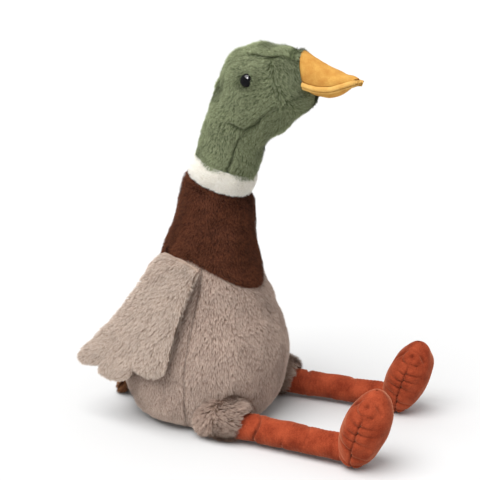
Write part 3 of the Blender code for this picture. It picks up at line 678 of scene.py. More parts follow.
def connect(
    tree: NodeTree, node: Node, links: Inputs | None = None, values: Inputs | None = None
) -> None:
    """Gives a node's inputs their values and links.

    Args:
        tree: The node's tree.
        node: The node.
        links: Sockets of other nodes, by the name or number of this node's input.
        values: Values for its inputs, by name or number.
    """
    for key, value in (values or {}).items():
        node.inputs[key].default_value = value
    for key, socket in (links or {}).items():
        tree.links.new(socket, node.inputs[key])


def add_node(
    tree: NodeTree,
    kind: str,
    links: Inputs | None = None,
    values: Inputs | None = None,
    **settings: object,
) -> Node:
    """Adds a node with its settings and links.

    Args:
        tree: The tree that gets it.
        kind: The node's type.
        links: Sockets of other nodes, by the name or number of this node's input.
        values: Values for its inputs, by name or number.
        settings: Its own settings.

    Returns:
        The node.
    """
    node = tree.nodes.new(kind)
    for key, value in settings.items():
        setattr(node, key, value)
    connect(tree, node, links, values)
    return node


def start_material(name: str) -> tuple[Material, NodeTree, Node]:
    """A new material.

    Args:
        name: Its name.

    Returns:
        The material, its node tree and its shader.
    """
    made = bpy.data.materials.new(name)
    made.use_nodes = True
    return made, made.node_tree, made.node_tree.nodes["Principled BSDF"]


def face_cloth(
    tree: NodeTree,
    shader: Node,
    share: NodeSocket,
    colours: tuple[str, str],
    height: NodeSocket,
    relief: tuple[float, float],
    creased: bool = False,
) -> None:
    """Gives a shader two mixed colours and a relief.

    Args:
        tree: The material's nodes.
        shader: Its shader.
        share: The second colour's share.
        colours: The two colours.
        height: The relief's height.
        relief: The relief's strength and its depth in metres.
        creased: Whether the cloth's painted light and shade scale its colour.
    """
    first, second = map(linear, colours)
    mix = add_node(
        tree, "ShaderNodeMix", {"Factor": share}, {"A": first, "B": second}, data_type="RGBA"
    )
    colour = mix.outputs["Result"]
    if creased:
        # Painted shade and painted light, kept in the cloth's attribute, scale the colour.
        crease = add_node(tree, "ShaderNodeAttribute", attribute_name=PAINTED_SHADE)
        painted_shade_colour = add_node(
            tree, "ShaderNodeHueSaturation", {"Color": colour, "Value": crease.outputs["Fac"]}
        )
        colour = painted_shade_colour.outputs["Color"]
    strength, depth = relief
    bump = add_node(
        tree, "ShaderNodeBump", {"Height": height}, {"Strength": strength, "Distance": depth}
    )
    connect(tree, shader, {"Base Color": colour, "Normal": bump.outputs["Normal"]})


def napped_cloth(
    name: str,
    looks: tuple[dict[str, float], dict[str, float]],
    weight: float,
    limits: tuple[float, float],
    colours: tuple[str, str],
    relief: tuple[float, float],
    values: dict[str, object],
) -> Material:
    """A matt cloth whose fine fibres and broad patches shade it between two colours.

    Args:
        name: The material's name.
        looks: The fine pattern and the broad one.
        weight: The fine pattern's weight where the two are added, or 0 to multiply them.
        limits: The sums at which the first and the second colour are reached.
        colours: The two colours.
        relief: The strength and the depth in metres of the fine pattern's relief.
        values: The shader's plain values.

    Returns:
        The material.
    """
    made, tree, shader = start_material(name)
    where = add_node(tree, "ShaderNodeTexCoord")
    place = {"Vector": where.outputs["Object"]}
    fine, broad = (add_node(tree, "ShaderNodeTexNoise", place, look) for look in looks)
    height = fine.outputs["Fac"]
    links = {0: height, 2 if weight else 1: broad.outputs["Fac"]}
    operation = "MULTIPLY_ADD" if weight else "MULTIPLY"
    added = {1: weight} if weight else {}
    blend = add_node(tree, "ShaderNodeMath", links, added, operation=operation)
    ends = dict(zip(("From Min", "From Max"), limits))
    share = add_node(tree, "ShaderNodeMapRange", {"Value": blend.outputs[0]}, ends)
    # The cloth's painted light and shade scale its colour.
    face_cloth(tree, shader, share.outputs["Result"], colours, height, relief, creased=True)
    connect(tree, shader, values=values)
    return made


@dataclass(frozen=True)
class FauxFur:
    """Polyester faux fur, brushed and sheared: matt fibres that are darker at the root, a soft
    sheen where they turn from the eye, and slow changes of shade where they were stroked.

    Attributes:
        name: What the fabric is called.
        slot: The record's slot.
        root: The colour at the roots.
        shaft: The colour half way up.
        tip: The colour at the tips.
        contrast: How much lighter and darker fibres and patches are, as a share.
        patch: The size of a stroked patch, in metres.
        loop: How far apart the loops of the knitted backing are, in metres.
    """

    name: str
    slot: str
    root: str
    shaft: str
    tip: str
    contrast: float
    patch: float = 18 * MM
    loop: float = 1.2 * MM

    @cache
    def fibre(self) -> Material:
        """The finish of the pile."""
        made, tree, shader = start_material(self.name + "_pile")
        strand = add_node(tree, "ShaderNodeAttribute", attribute_name=STRAND)
        parts = add_node(tree, "ShaderNodeSeparateColor", {"Color": strand.outputs["Color"]})
        climb, fibre, tuft = parts.outputs
        ramp = add_node(tree, "ShaderNodeValToRGB", {"Fac": climb})
        stops = ramp.color_ramp.elements
        stops[0].color = linear(self.root)
        stops[1].color = linear(self.tip)
        stops.new(0.55).color = linear(self.shaft)
        where = add_node(tree, "ShaderNodeTexCoord")
        place = {"Vector": where.outputs["Object"]}
        look = {"Scale": 1 / self.patch, "Detail": 2.0, "Roughness": 0.5}
        patches = add_node(tree, "ShaderNodeTexNoise", place, look)
        single = add_node(tree, "ShaderNodeMath", {0: fibre, 1: tuft}, operation="ADD")
        links = {0: patches.outputs["Fac"], 2: single.outputs[0]}
        both = add_node(tree, "ShaderNodeMath", links, {1: 2.0}, operation="MULTIPLY_ADD")
        least, most = 1 - self.contrast, 1 + self.contrast
        limits = {"From Min": 0.6, "From Max": 3.4, "To Min": least, "To Max": most}
        gain = add_node(tree, "ShaderNodeMapRange", {"Value": both.outputs[0]}, limits)
        # Painted light and shade from the alpha scale the fibres' lightness.
        links = {0: gain.outputs["Result"], 1: strand.outputs["Alpha"]}
        lit = add_node(tree, "ShaderNodeMath", links, operation="MULTIPLY")
        links = {"Color": ramp.outputs["Color"], "Value": lit.outputs[0]}
        shade = add_node(tree, "ShaderNodeHueSaturation", links)
        values = {
            "Roughness": 0.85,
            "Specular IOR Level": 0.2,
            "Sheen Weight": 0.25,
            "Sheen Roughness": 0.5,
            "Sheen Tint": linear(self.tip),
        }
        connect(tree, shader, {"Base Color": shade.outputs["Color"]}, values)
        return made

    @cache
    def backing(self) -> Material:
        """The finish of the knitted backing, which shows as small matt loops."""
        made, tree, shader = start_material(self.name + "_backing")
        where = add_node(tree, "ShaderNodeTexCoord")
        place = {"Vector": where.outputs["Object"]}
        loops = add_node(tree, "ShaderNodeTexVoronoi", place, {"Scale": 1 / self.loop})
        share = loops.outputs["Distance"]
        face_cloth(tree, shader, share, (self.shaft, self.root), share, (0.6, 0.4 * MM))
        connect(tree, shader, values={"Roughness": 0.95, "Specular IOR Level": 0.15})
        return made


@dataclass(frozen=True)
class Velvet:
    """Polyester velour with a nap under a millimetre: matt and saturated face on, with a pale
    bloom along its turning edges, and lighter streaks where the nap was brushed back.

    Attributes:
        name: What the fabric is called.
        slot: The record's slot.
        deep: The colour where the nap stands.
        brushed: The colour where it was brushed back.
        bloom: The tint of the sheen.
        streak: The size of the streaks, in metres.
        nap: The size of the nap's bunches, coarser than the real ones so that they show.
    """

    name: str
    slot: str
    deep: str
    brushed: str
    bloom: str
    streak: float = 14 * MM
    nap: float = 1.1 * MM

    @cache
    def finish(self) -> Material:
        """The finish of the velvet."""
        looks = (
            {"Scale": 1 / self.nap, "Detail": 2.0, "Roughness": 0.6},
            {"Scale": 1 / self.streak, "Detail": 3.0, "Roughness": 0.55},
        )
        values = {
            "Roughness": 0.9,
            "Specular IOR Level": 0.15,
            "Sheen Weight": 0.6,
            "Sheen Roughness": 0.35,
            "Sheen Tint": linear(self.bloom),
        }
        colours = (self.deep, self.brushed)
        return napped_cloth(self.name, looks, 0.6, (0.6, 1.0), colours, (0.45, 0.5 * MM), values)


@dataclass(frozen=True)
class WoolFelt:
    """Pressed wool felt: matt, with crossing fibres half a millimetre apart and a faint mottle.

    Attributes:
        name: What the fabric is called.
        slot: The record's slot.
        face: The colour of most fibres.
        shade: The colour of the darker ones.
        fibre: The distance between fibres, coarser than the real ones so that they show.
        mottle: The size of the mottle's patches, in metres.
    """

    name: str
    slot: str
    face: str
    shade: str
    fibre: float = 0.9 * MM
    mottle: float = 9 * MM

    @cache
    def finish(self) -> Material:
        """The finish of the felt."""
        looks = (
            {"Scale": 1 / self.fibre, "Detail": 4.0, "Roughness": 0.7, "Distortion": 1.5},
            {"Scale": 1 / self.mottle, "Detail": 2.0},
        )
        values = {
            "Roughness": 0.92,
            "Specular IOR Level": 0.15,
            "Sheen Weight": 0.3,
            "Sheen Roughness": 0.5,
            "Sheen Tint": linear(self.face),
        }
        colours = (self.shade, self.face)
        return napped_cloth(self.name, looks, 0.0, (0.12, 0.4), colours, (0.7, 0.4 * MM), values)


@dataclass(frozen=True)
class MouldedPlastic:
    """Injection-moulded polystyrene or nylon: one colour, with a skin as smooth as its mould.

    Attributes:
        name: What the plastic is called.
        slot: The record's slot.
        colour: Its colour.
        roughness: How matt its skin is.
        ior: Its index of refraction.
        wave: The distance between the faint waves that its mould leaves, in metres.
    """

    name: str
    slot: str
    colour: str
    roughness: float
    ior: float = 1.53
    wave: float = 3 * MM

    @cache
    def finish(self) -> Material:
        """The finish of the plastic."""
        made, tree, shader = start_material(self.name)
        where = add_node(tree, "ShaderNodeTexCoord")
        place = {"Vector": where.outputs["Object"]}
        look = {"Scale": 1 / self.wave, "Detail": 1.0}
        waves = add_node(tree, "ShaderNodeTexNoise", place, look)
        relief = {"Strength": 0.05, "Distance": 0.1 * MM}
        bump = add_node(tree, "ShaderNodeBump", {"Height": waves.outputs["Fac"]}, relief)
        values = {"Base Color": linear(self.colour), "Roughness": self.roughness, "IOR": self.ior}
        connect(tree, shader, {"Normal": bump.outputs["Normal"]}, values)
        return made


@dataclass(frozen=True)
class Fill:
    """What is inside: polyester fibre as white wadding, or a plain woven bag of pellets.

    Attributes:
        name: What the filling is called.
        slot: The record's slot.
        light: The colour of its high places.
        dark: The colour of its hollows.
        lump: The size of its lumps, in metres.
    """

    name: str
    slot: str
    light: str
    dark: str
    lump: float

    @cache
    def finish(self) -> Material:
        """The finish of the filling."""
        made, tree, shader = start_material(self.name)
        where = add_node(tree, "ShaderNodeTexCoord")
        place = {"Vector": where.outputs["Object"]}
        look = {"Scale": 1 / self.lump, "Detail": 6.0, "Roughness": 0.7}
        lumps = add_node(tree, "ShaderNodeTexNoise", place, look)
        share = lumps.outputs["Fac"]
        face_cloth(tree, shader, share, (self.dark, self.light), share, (0.8, 1 * MM))
        connect(tree, shader, values={"Roughness": 1.0})
        return made


TAUPE_PLUSH = FauxFur("taupe_faux_fur", "taupe_plush", "#84695a", "#b0988a", "#d3c1b3", 0.14)
# A lighter copy of the taupe fur: painted light on the wings, which face up toward the light.
LIT_WING_PLUSH = FauxFur("wing_faux_fur", "taupe_plush", "#8d7667", "#b7a394", "#d8cabd", 0.12)
# A darker copy of the taupe fur: painted shade on the thighs, which lie low against the body.
SHADED_CUFF_PLUSH = FauxFur("cuff_faux_fur", "taupe_plush", "#73594a", "#9a8172", "#c4afa1", 0.12)
GREEN_PLUSH = FauxFur("moss_faux_fur", "green_plush", "#363e28", "#687050", "#a9b18c", 0.26)
BROWN_PLUSH = FauxFur("chestnut_faux_fur", "brown_plush", "#28110a", "#4a2413", "#80492c", 0.3)
# A lighter copy of the chestnut fur: painted light on the tail's lit side.
LIT_TAIL_PLUSH = FauxFur("tail_faux_fur", "brown_plush", "#4a2a18", "#6d4429", "#a07552", 0.2)
CREAM_PLUSH = FauxFur("cream_faux_fur", "cream_plush", "#e9e4d8", "#f7f4ec", "#fffdf8", 0.04)
RUST_VELVET = Velvet("rust_velour", "rust_velvet", "#78290f", "#a24628", "#ffb48c")
GOLD_FELT = WoolFelt("golden_felt", "gold_felt", "#c99b4e", "#b07632")
# A lighter copy of the golden felt: painted light on the brim's edges.
LIT_BRIM_FELT = WoolFelt("golden_felt_brim", "gold_felt", "#dcb165", "#c08f48")
BLACK_PLASTIC = MouldedPlastic("black_safety_eye", "black_plastic", "#060609", 0.05, ior=1.45)
CLEAR_PLASTIC = MouldedPlastic("washer_nylon", "clear_plastic", "#d0d0c8", 0.4)
POLYESTER_FIBRE = Fill("polyester_fibre", "fibre", "#f4f2ee", "#cfccc6", 5 * MM)
PELLET_BAG = Fill("woven_pellet_bag", "bean_bag", "#d2cdbd", "#a7a08c", 3 * MM)


# Pieces.


@dataclass
class Wardrobe:
    """Puts pieces in the scene and reports them.

    Attributes:
        dressed: How many pieces there are so far.
    """

    dressed: int = 0

    def hang(self, name: str, mesh: Mesh, finish: Material) -> Object:
        """Puts a mesh in the scene as a piece.

        Args:
            name: The piece's name.
            mesh: Its mesh.
            finish: Its material.

        Returns:
            The piece, which doesn't ride on a body yet.
        """
        made = bpy.data.objects.new(name, mesh)
        mesh.materials.clear()
        mesh.materials.append(finish)
        bpy.context.scene.collection.objects.link(made)
        self.dressed += 1
        LOG.info("%s: %d faces", name, len(mesh.polygons))
        return made

    def furry(
        self, name: str, cloth: Cloth, fur: FauxFur, pile: Pile, node: str, seed: int
    ) -> list[Object]:
        """A panel of faux fur: its backing and its pile.

        Args:
            name: The panel's name.
            cloth: Its shape, at the height of the backing.
            fur: Its fabric.
            pile: Its pile.
            node: The CAD node that it stands for.
            seed: Picks one scatter of fibres.

        Returns:
            The backing and the pile.
        """
        sheet = cloth.sheet(name + "_backing", BACKING)
        backing = self.hang(name + "_backing", sheet, fur.backing())
        grown = pile.grow(name + "_pile", cloth, seed)
        fibres = self.hang(name + "_pile", grown, fur.fibre())
        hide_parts(node)
        return [backing, fibres]

    def padded_panel(
        self,
        name: str,
        cloth: Cloth,
        fabric: Velvet | WoolFelt,
        thickness: float,
        node: str,
    ) -> Object:
        """A padded panel of cloth without a pile.

        Args:
            name: Its name.
            cloth: Its shape.
            fabric: Its fabric.
            thickness: How thick the cloth is, in metres.
            node: The CAD node that it stands for.

        Returns:
            The panel.
        """
        piece = self.hang(name, cloth.sheet(name, thickness), fabric.finish())
        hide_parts(node)
        return piece

    def filling(self, node: str, body: str, depth: float, fill: Fill = POLYESTER_FIBRE) -> Object:
        """The filling of one form, from the CAD solid that stands for it.

        Args:
            node: The CAD node.
            body: The body that it rides on, or nothing to leave it on none.
            depth: How far it is moved in, to lie inside the backing, in metres.
            fill: What it is made of.

        Returns:
            The filling.
        """
        build = bmesh.new()
        build.from_mesh(frame["nodes"][node].data)
        bmesh.ops.remove_doubles(build, verts=build.verts, dist=0.01 * MM)
        bmesh.ops.triangulate(build, faces=build.faces)
        build.normal_update()
        tree = BVHTree.FromBMesh(build)
        moves = []
        for vertex in build.verts:
            start = vertex.co - vertex.normal * 0.05 * MM
            thickness = tree.ray_cast(start, -vertex.normal)[3] or 0.0
            moves.append(vertex.normal * min(depth, 0.4 * thickness))
        for vertex, move in zip(build.verts, moves):
            vertex.co -= move
        axes = {"use_axis_x": True, "use_axis_y": True, "use_axis_z": True}
        for _ in range(3):
            bmesh.ops.smooth_vert(build, verts=build.verts, factor=0.5, **axes)
        name = node.replace("stuffing", "fibre_fill").replace("wadding", "fibre_layer")
        mesh = bpy.data.meshes.new(name)
        build.to_mesh(mesh)
        build.free()
        mesh.shade_smooth()
        piece = self.hang(name + "_inside", mesh, fill.finish())
        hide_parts(node)
        if body:
            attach(piece, body)
        return piece


def blend_all(pieces: list[Object]) -> None:
    """Bakes each piece's place into its mesh.

    Args:
        pieces: The pieces.
    """
    for piece in pieces:
        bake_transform(piece)


WARDROBE = Wardrobe()
UNDER_PILE = 2.4 * MM
BACKING = 1.0 * MM
CLEARANCE = 0.3 * MM
FLAP_EDGE = 0.5 * MM
FLAP_PILE = 2.3 * MM
BODY_PILE = Pile(
    length=5.2 * MM,
    width=0.36 * MM,
    per_square_mm=2.45,
    rise=30,
    swirl=13,
    tuft=2.0 * MM,
    gather=0.36,
    waver=0.08,
    stretch=2.2,
)
CHEST_PILE = Pile(
    length=3.6 * MM,
    width=0.34 * MM,
    per_square_mm=3.0,
    rise=42,
    swirl=14,
    tuft=1.8 * MM,
    gather=0.25,
)
COLLAR_PILE = Pile(
    length=2.3 * MM, width=0.36 * MM, per_square_mm=4.0, rise=60, tuft=2.0 * MM, gather=0.2
)
HEAD_PILE = Pile(
    length=5.8 * MM,
    width=0.33 * MM,
    per_square_mm=3.1,
    rise=27,
    swirl=18,
    tuft=1.9 * MM,
    gather=0.38,
    waver=0.12,
    stretch=2.0,
)
CUFF_PILE = Pile(
    length=7.5 * MM,
    width=0.42 * MM,
    per_square_mm=2.8,
    rise=36,
    tuft=2.3 * MM,
    gather=0.45,
    waver=0.12,
)
TAIL_PILE = Pile(
    length=6.0 * MM, width=0.36 * MM, per_square_mm=2.6, rise=30, tuft=2.4 * MM, gather=0.35
)


# Body.


@dataclass(frozen=True)
class Trunk:
    """The torso and the brown sleeve above it, which share one pear-shaped form.

    Attributes are the part's own driving sizes, in metres and radians, and shares of them. A row
    of sleeve_tucks is a height in millimetres and a share of the radius.
    """

    seat_radius: float = 54.0 * MM
    widest_radius: float = 80.5 * MM
    widest_height: float = 60.0 * MM
    chest_radius: float = 53.0 * MM
    chest_height: float = 139.5 * MM
    chest_forward: float = 10.0 * MM
    chest_tilt: float = math.radians(19.3)
    side_seam: float = math.radians(78)
    hinge_radii: tuple[float, float] = (48.0 * MM, 59.4 * MM)
    sleeve_top_radius: float = 35.2 * MM
    ring_tilt: float = math.radians(21)
    ring_radius: float = 32.0 * MM
    ring_half_band: float = 10.5 * MM
    rows: int = 56
    sleeve_rows: int = 40
    sleeve_columns: int = 96
    sleeve_tucks: tuple = ((1.0, 0.99), (2.2, 0.965), (3.4, 0.93))
    sleeve_bend: tuple = (0.35, 0.62)
    overhang: float = 2.5 * MM
    overhang_drop: float = 17 * MM
    ring_rows: int = 16
    ring_columns: int = 84
    torso_shares: tuple = (
        (0.045, 0.36, -0.10, 0.0),
        (0.105, 0.62, -0.10, 0.0),
        (0.200, 0.83, -0.05, 0.0),
        (0.315, 0.96, 0.0, 0.0),
        (0.440, 1.0, 0.10, 0.05),
        (0.600, 0.87, 0.30, 0.25),
        (0.745, 0.63, 0.55, 0.50),
        (0.880, 0.31, 0.80, 0.80),
        (1.0, 0.0, 1.0, 1.0),
    )
    neck_shares: tuple = (
        (0.20, 0.29),
        (0.40, 0.56),
        (0.61, 0.78),
        (0.82, 0.92),
        (0.94, 1.0),
    )

    def form(self) -> StuffedForm:
        """The form from the seat to the ring."""
        rows = [(0.0, CLEARANCE, 0.0, self.seat_radius, self.seat_radius)]
        for height_share, out, forward, tilt in self.torso_shares:
            height = height_share * self.chest_height
            inner = self.seat_radius if height < self.widest_height else self.chest_radius
            radius = inner + (self.widest_radius - inner) * out
            ahead = forward * self.chest_forward
            rows.append((ahead, height, tilt * self.chest_tilt, radius, radius))
        ring = joint_place("head_nod")
        drop = self.ring_half_band + CLEARANCE
        top_forward = -ring[1] - drop * math.sin(self.ring_tilt)
        top_height = ring[2] - drop * math.cos(self.ring_tilt)
        for climb, narrowing in self.neck_shares:
            radius = self.chest_radius + (self.sleeve_top_radius - self.chest_radius) * narrowing
            ahead = self.chest_forward + (top_forward - self.chest_forward) * climb
            height = self.chest_height + (top_height - self.chest_height) * climb
            tilt = self.chest_tilt + (self.ring_tilt - self.chest_tilt) * climb
            rows.append((ahead, height, tilt, radius, radius))
        top_radius = math.sqrt(self.ring_radius**2 - self.ring_half_band**2)
        rows.append((top_forward, top_height, self.ring_tilt, top_radius, top_radius))
        return StuffedForm(np.array(rows))

    def chest_seam(self, form: StuffedForm, angles: Array) -> Array:
        """The place of the chest seam, where the form meets the round surface of the neck's joint.

        Args:
            form: The form.
            angles: Angles round it.

        Returns:
            The place at each angle.
        """
        hinge = joint_place("neck_lean")
        wide, deep = self.hinge_radii
        reach = np.array([wide, deep, deep])

        def outside(points: Array) -> Array:
            """Whether each point is still below the seam."""
            return (((points - hinge) / reach) ** 2).sum(axis=-1) > 1

        return form.crossing(angles, 6.0, 11.0, outside)

    def dress_torso(self) -> None:
        """The three panels of the torso, its seat panel and its fillings."""
        form = self.form()
        side = self.side_seam
        panels = (
            ("torso_front_panel", "front_panel", -side, side, 78),
            ("torso_left_back_panel", "left_back_panel", side, math.pi, 52),
            ("torso_right_back_panel", "right_back_panel", math.pi, math.tau - side, 52),
        )
        shares = np.linspace(0.0, 1.0, self.rows) ** 0.9
        for number, (node, name, start, end, columns) in enumerate(panels):
            angles = start + (end - start) * seam_spacing(columns)
            places = shares[:, None] * self.chest_seam(form, angles)[None, :]
            cloth = Cloth(form.points(places, np.broadcast_to(angles, places.shape)))
            cloth.move(-UNDER_PILE)
            cloth.swell(wavelength=34 * MM, height=0.7 * MM, seed=11)
            for edge in (Edge.START, Edge.END):
                cloth.join(edge, sharp=0.5)
            top = cloth.edge_distance(Edge.TOP)
            cloth.sew(top, depth=1.2 * MM, width=3.5 * MM)
            cloth.move(self.overhang * bell(top - self.overhang_drop, width=11 * MM))
            held = np.exp(-top / (2.2 * MM))
            cloth.combs = unit(cloth.combs * (1 - 0.8 * held[..., None]))
            cloth.lengths *= 1 - 0.5 * held
            cloth.rest_on(1.2 * MM)
            for piece in WARDROBE.furry(name, cloth, TAUPE_PLUSH, BODY_PILE, node, 100 + number):
                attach(piece, "torso")
        self.dress_seat()
        WARDROBE.filling("torso_stuffing", "torso", depth=6.5 * MM)
        WARDROBE.filling("bean_pouch", "torso", depth=3.2 * MM, fill=PELLET_BAG)

    def dress_seat(self) -> None:
        """The flat panel that the duck sits on, with its pile pressed flat."""
        radius = self.seat_radius - 2.4 * MM
        rim = ((-1.0, 1.5), (0.0, 1.0), (0.0, 0.5), (-0.6, 0.0))
        corners = [(radius + out * MM, height * MM) for out, height in rim]
        profile = np.array([(0.0, corners[0][1]), *corners, (0.0, 0.0)])
        mesh = turned_mesh("seat_panel_plush", profile, segments=72)
        piece = WARDROBE.hang("seat_panel_plush", mesh, TAUPE_PLUSH.backing())
        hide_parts("seat_panel")
        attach(piece, "torso")

    def dress_sleeve(self) -> None:
        """The brown sleeve, from the chest seam up to the ring."""
        form = self.form()
        angles = np.linspace(0, math.tau, self.sleeve_columns, endpoint=False)
        seam = self.chest_seam(form, angles)
        last = len(form.stations) - 1.0
        climb = np.linspace(0.0, 1.0, self.sleeve_rows)[:, None]
        places = seam[None, :] + (last - seam[None, :]) * climb
        grid = form.points(places, np.broadcast_to(angles[None, :], places.shape))
        axis = np.array([0.0, -math.sin(self.ring_tilt), math.cos(self.ring_tilt)])
        top = grid[-1].mean(axis=0)
        rows = [top + (grid[-1] - top) * size + axis * up * MM for up, size in self.sleeve_tucks]
        cloth = Cloth(np.concatenate([grid, np.array(rows)]), closed=True)
        cloth.move(-UNDER_PILE + 0.5 * MM)
        cloth.swell(wavelength=30 * MM, height=0.5 * MM, seed=12)
        cloth.sew(cloth.edge_distance(Edge.BOTTOM), depth=1.0 * MM, width=3.0 * MM, part=0.1)
        name = "chest_sleeve"
        pieces = WARDROBE.furry(name, cloth, BROWN_PLUSH, CHEST_PILE, name, 120)
        pieces.append(WARDROBE.filling("neck_stuffing", "", depth=7.5 * MM))
        blend_all(pieces)

    def dress_ring(self) -> None:
        """The cream collar ring, a short dense pile on a band that tucks under its neighbours."""
        turns = np.linspace(0, math.tau, self.ring_columns, endpoint=False)[None, :]
        low = math.asin(self.ring_half_band / self.ring_radius)
        climb = np.linspace(-0.86 * low, 1.1 * low, self.ring_rows)[:, None]
        face = self.ring_radius - 1.7 * MM
        radius = face * np.cos(climb)
        height = np.broadcast_to(face * np.sin(climb), (self.ring_rows, self.ring_columns))
        flat = np.stack([radius * np.sin(turns), -radius * np.cos(turns), height], axis=-1)
        tilt = np.array(Matrix.Rotation(self.ring_tilt, 3, "X"))
        cloth = Cloth(flat @ tilt.T + joint_place("head_nod"), closed=True)
        cloth.swell(wavelength=18 * MM, height=0.25 * MM, seed=13)
        name = "collar_ring"
        for piece in WARDROBE.furry(name, cloth, CREAM_PLUSH, COLLAR_PILE, name, 130):
            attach(piece, "ring")
        WARDROBE.filling("ring_stuffing", "ring", depth=6.0 * MM)


TRUNK = Trunk()


@dataclass(frozen=True)
class Head:
    """The head: a throat gusset, two cheeks and a crown gusset, which end at the beak.

    Attributes are the part's own driving sizes, in metres and radians, and shares of them. A row
    of dart_places is a place along the head and an angle in degrees. A row of rim_shares is a
    share of the opening and a distance in millimetres.
    """

    half_width: float = 36.0 * MM
    half_depth: float = 41.4 * MM
    neck_radius: float = 30.5 * MM
    face_forward: float = 102.7 * MM
    face_height: float = 327.0 * MM
    face_tilt: float = math.radians(73.4)
    face_half_width: float = 21.0 * MM
    face_half_depth: float = 19.7 * MM
    eye_radius: float = 5.9 * MM
    eye_dome: float = 4.2 * MM
    eye_sink: float = 1.9 * MM
    eye_angle: float = math.radians(101.2)
    eye_place_share: float = 0.709
    lid: float = 2.4 * MM
    lid_distance: float = 7.6 * MM
    cheek_comb_turn: tuple = (34 * MM, 14 * MM)
    crown_comb_turn: tuple = (9 * MM, 3 * MM)
    shares: tuple = (
        (0.05, 0.112, 0.0, 0.835, 0.73),
        (0.10, 0.262, 0.0, 0.85, 0.74),
        (0.161, 0.419, 0.076, 0.86, 0.735),
        (0.249, 0.56, 0.24, 0.915, 0.80),
        (0.35, 0.69, 0.38, 0.97, 0.915),
        (0.473, 0.843, 0.464, 1.0, 1.0),
        (0.652, 0.942, 0.57, 0.985, 0.928),
        (0.85, 0.982, 0.737, 0.86, 0.725),
    )
    crown_shares: tuple = (0.10, 0.10, 0.11, 0.125, 0.145, 0.17, 0.20, 0.23, 0.25, 0.265)
    throat_shares: tuple = (0.33, 0.335, 0.34, 0.335, 0.325, 0.305, 0.287, 0.278, 0.276, 0.275)
    dart_places: tuple = ((4.26, 57.2), (4.12, 72.4), (4.02, 88.2))
    chin_height: float = 318.0 * MM
    rim_shares: tuple = ((0.965, 0.5), (0.90, 0.8), (0.80, 0.6), (0.66, 0.0))
    bend: tuple = (9 * MM, 38 * MM)
    rows: int = 130

    def form(self) -> StuffedForm:
        """The form from the middle of the ring to the opening for the beak."""
        ring = joint_place("head_nod")
        rows = [(-ring[1], ring[2], TRUNK.ring_tilt, self.neck_radius, self.neck_radius)]
        for forward, height, tilt, width, depth in self.shares:
            ahead = -ring[1] + (self.face_forward + ring[1]) * forward
            height = ring[2] + (self.face_height - ring[2]) * height
            tilt = TRUNK.ring_tilt + (self.face_tilt - TRUNK.ring_tilt) * tilt
            rows.append((ahead, height, tilt, width * self.half_width, depth * self.half_depth))
        face = (self.face_forward, self.face_height, self.face_tilt)
        rows.append((*face, self.face_half_width, self.face_half_depth))
        return StuffedForm(np.array(rows))

    def seam_angle(self, shares: tuple, places: Array) -> Array:
        """The half angle of a gusset at each place along the head.

        Args:
            shares: Its half angles at the stations, as shares of a half turn.
            places: The places.

        Returns:
            Half angles in radians.
        """
        curve = StuffedForm(np.array(shares)[:, None])
        return curve.station(places)[:, 0] * math.pi

    def cloth(self, first: Callable, last: Callable, columns: int) -> Cloth:
        """One panel of the head between two seams.

        Args:
            first: Gives the angle of its first seam at each place.
            last: Gives the angle of its last seam.
            columns: Its points across.

        Returns:
            The panel at the form's outline, from the ring to the face.
        """
        form = self.form()
        ring = joint_place("head_nod")
        end = len(form.stations) - 1.0
        share = seam_spacing(columns)[None, :]
        middle = np.full(columns, 1.0)

        def inside(points: Array) -> Array:
            """Whether each point is still in the ring's ball."""
            return np.linalg.norm(points - ring, axis=-1) < TRUNK.ring_radius - 1.0 * MM

        for _ in range(3):
            edge = first(middle) + (last(middle) - first(middle)) * share[0]
            middle = form.crossing(edge, 0.0, 3.0, inside)
        climb = np.linspace(0, 1, self.rows)[:, None]
        places = middle[None, :] + (end - middle[None, :]) * climb
        starts = first(places.ravel()).reshape(places.shape)
        ends = last(places.ravel()).reshape(places.shape)
        grid = form.points(places, starts + (ends - starts) * share)
        return Cloth(np.concatenate([grid, self.rim(grid[-1])]))

    def rim(self, line: Array) -> Array:
        """The turned-in edge of the opening for the beak.

        Args:
            line: A panel's last row.

        Returns:
            The rows that follow it, toward the middle of the opening.
        """
        middle = np.array([0, -self.face_forward, self.face_height])
        ahead = np.array([0, -math.sin(self.face_tilt), math.cos(self.face_tilt)])
        spokes = line - middle
        rows = [middle + spokes * size + ahead * push * MM for size, push in self.rim_shares]
        return np.array(rows)

    def comb(self, cloth: Cloth, crown: bool) -> None:
        """Combs the pile down the neck, and forward over the roots of the beak.

        Args:
            cloth: A panel of the head.
            crown: Whether it is the crown gusset, whose pile turns only at the beak.
        """
        along = unit(np.gradient(cloth.grid, axis=0))
        distance = self.face_distance(cloth)
        far, near = self.crown_comb_turn if crown else self.cheek_comb_turn
        turn = smoothstep((far - distance) / (far - near))[..., None]
        forward = along * 0.7 + np.array([0, 0, 0.0 if crown else -0.8])
        cloth.combs = unit(forward * turn - along * (1 - turn))
        near_beak = smoothstep((6 * MM - distance) / (6 * MM))
        cloth.lengths *= 1 - 0.35 * near_beak
        chin = smoothstep((self.chin_height - cloth.grid[..., 2]) / (5 * MM))
        kept = smoothstep(distance / (1.6 * MM) + 0.4)
        cloth.lengths *= np.maximum(kept, 0.6 * chin)
        # Painted light on the pile at the chin's rim, which faces away from the light.
        cloth.shades *= 1 + 0.5 * chin * smoothstep(0.5 - distance / (2 * MM))
        cloth.lengths *= 1 - 0.6 * bell(cloth.edge_distance(Edge.BOTTOM), width=3.5 * MM)

    def face_distance(self, cloth: Cloth) -> Array:
        """How far each point of a panel lies behind the opening, and below zero in its rim."""
        runs = cloth.edge_distance(Edge.TOP)
        return runs - runs[-1 - len(self.rim_shares)]

    def dress(self) -> None:
        """The four panels, the fillings, the eyes and their washers."""

        def throat(places: Array) -> Array:
            """The throat seam on the duck's left."""
            return self.seam_angle(self.throat_shares, places)

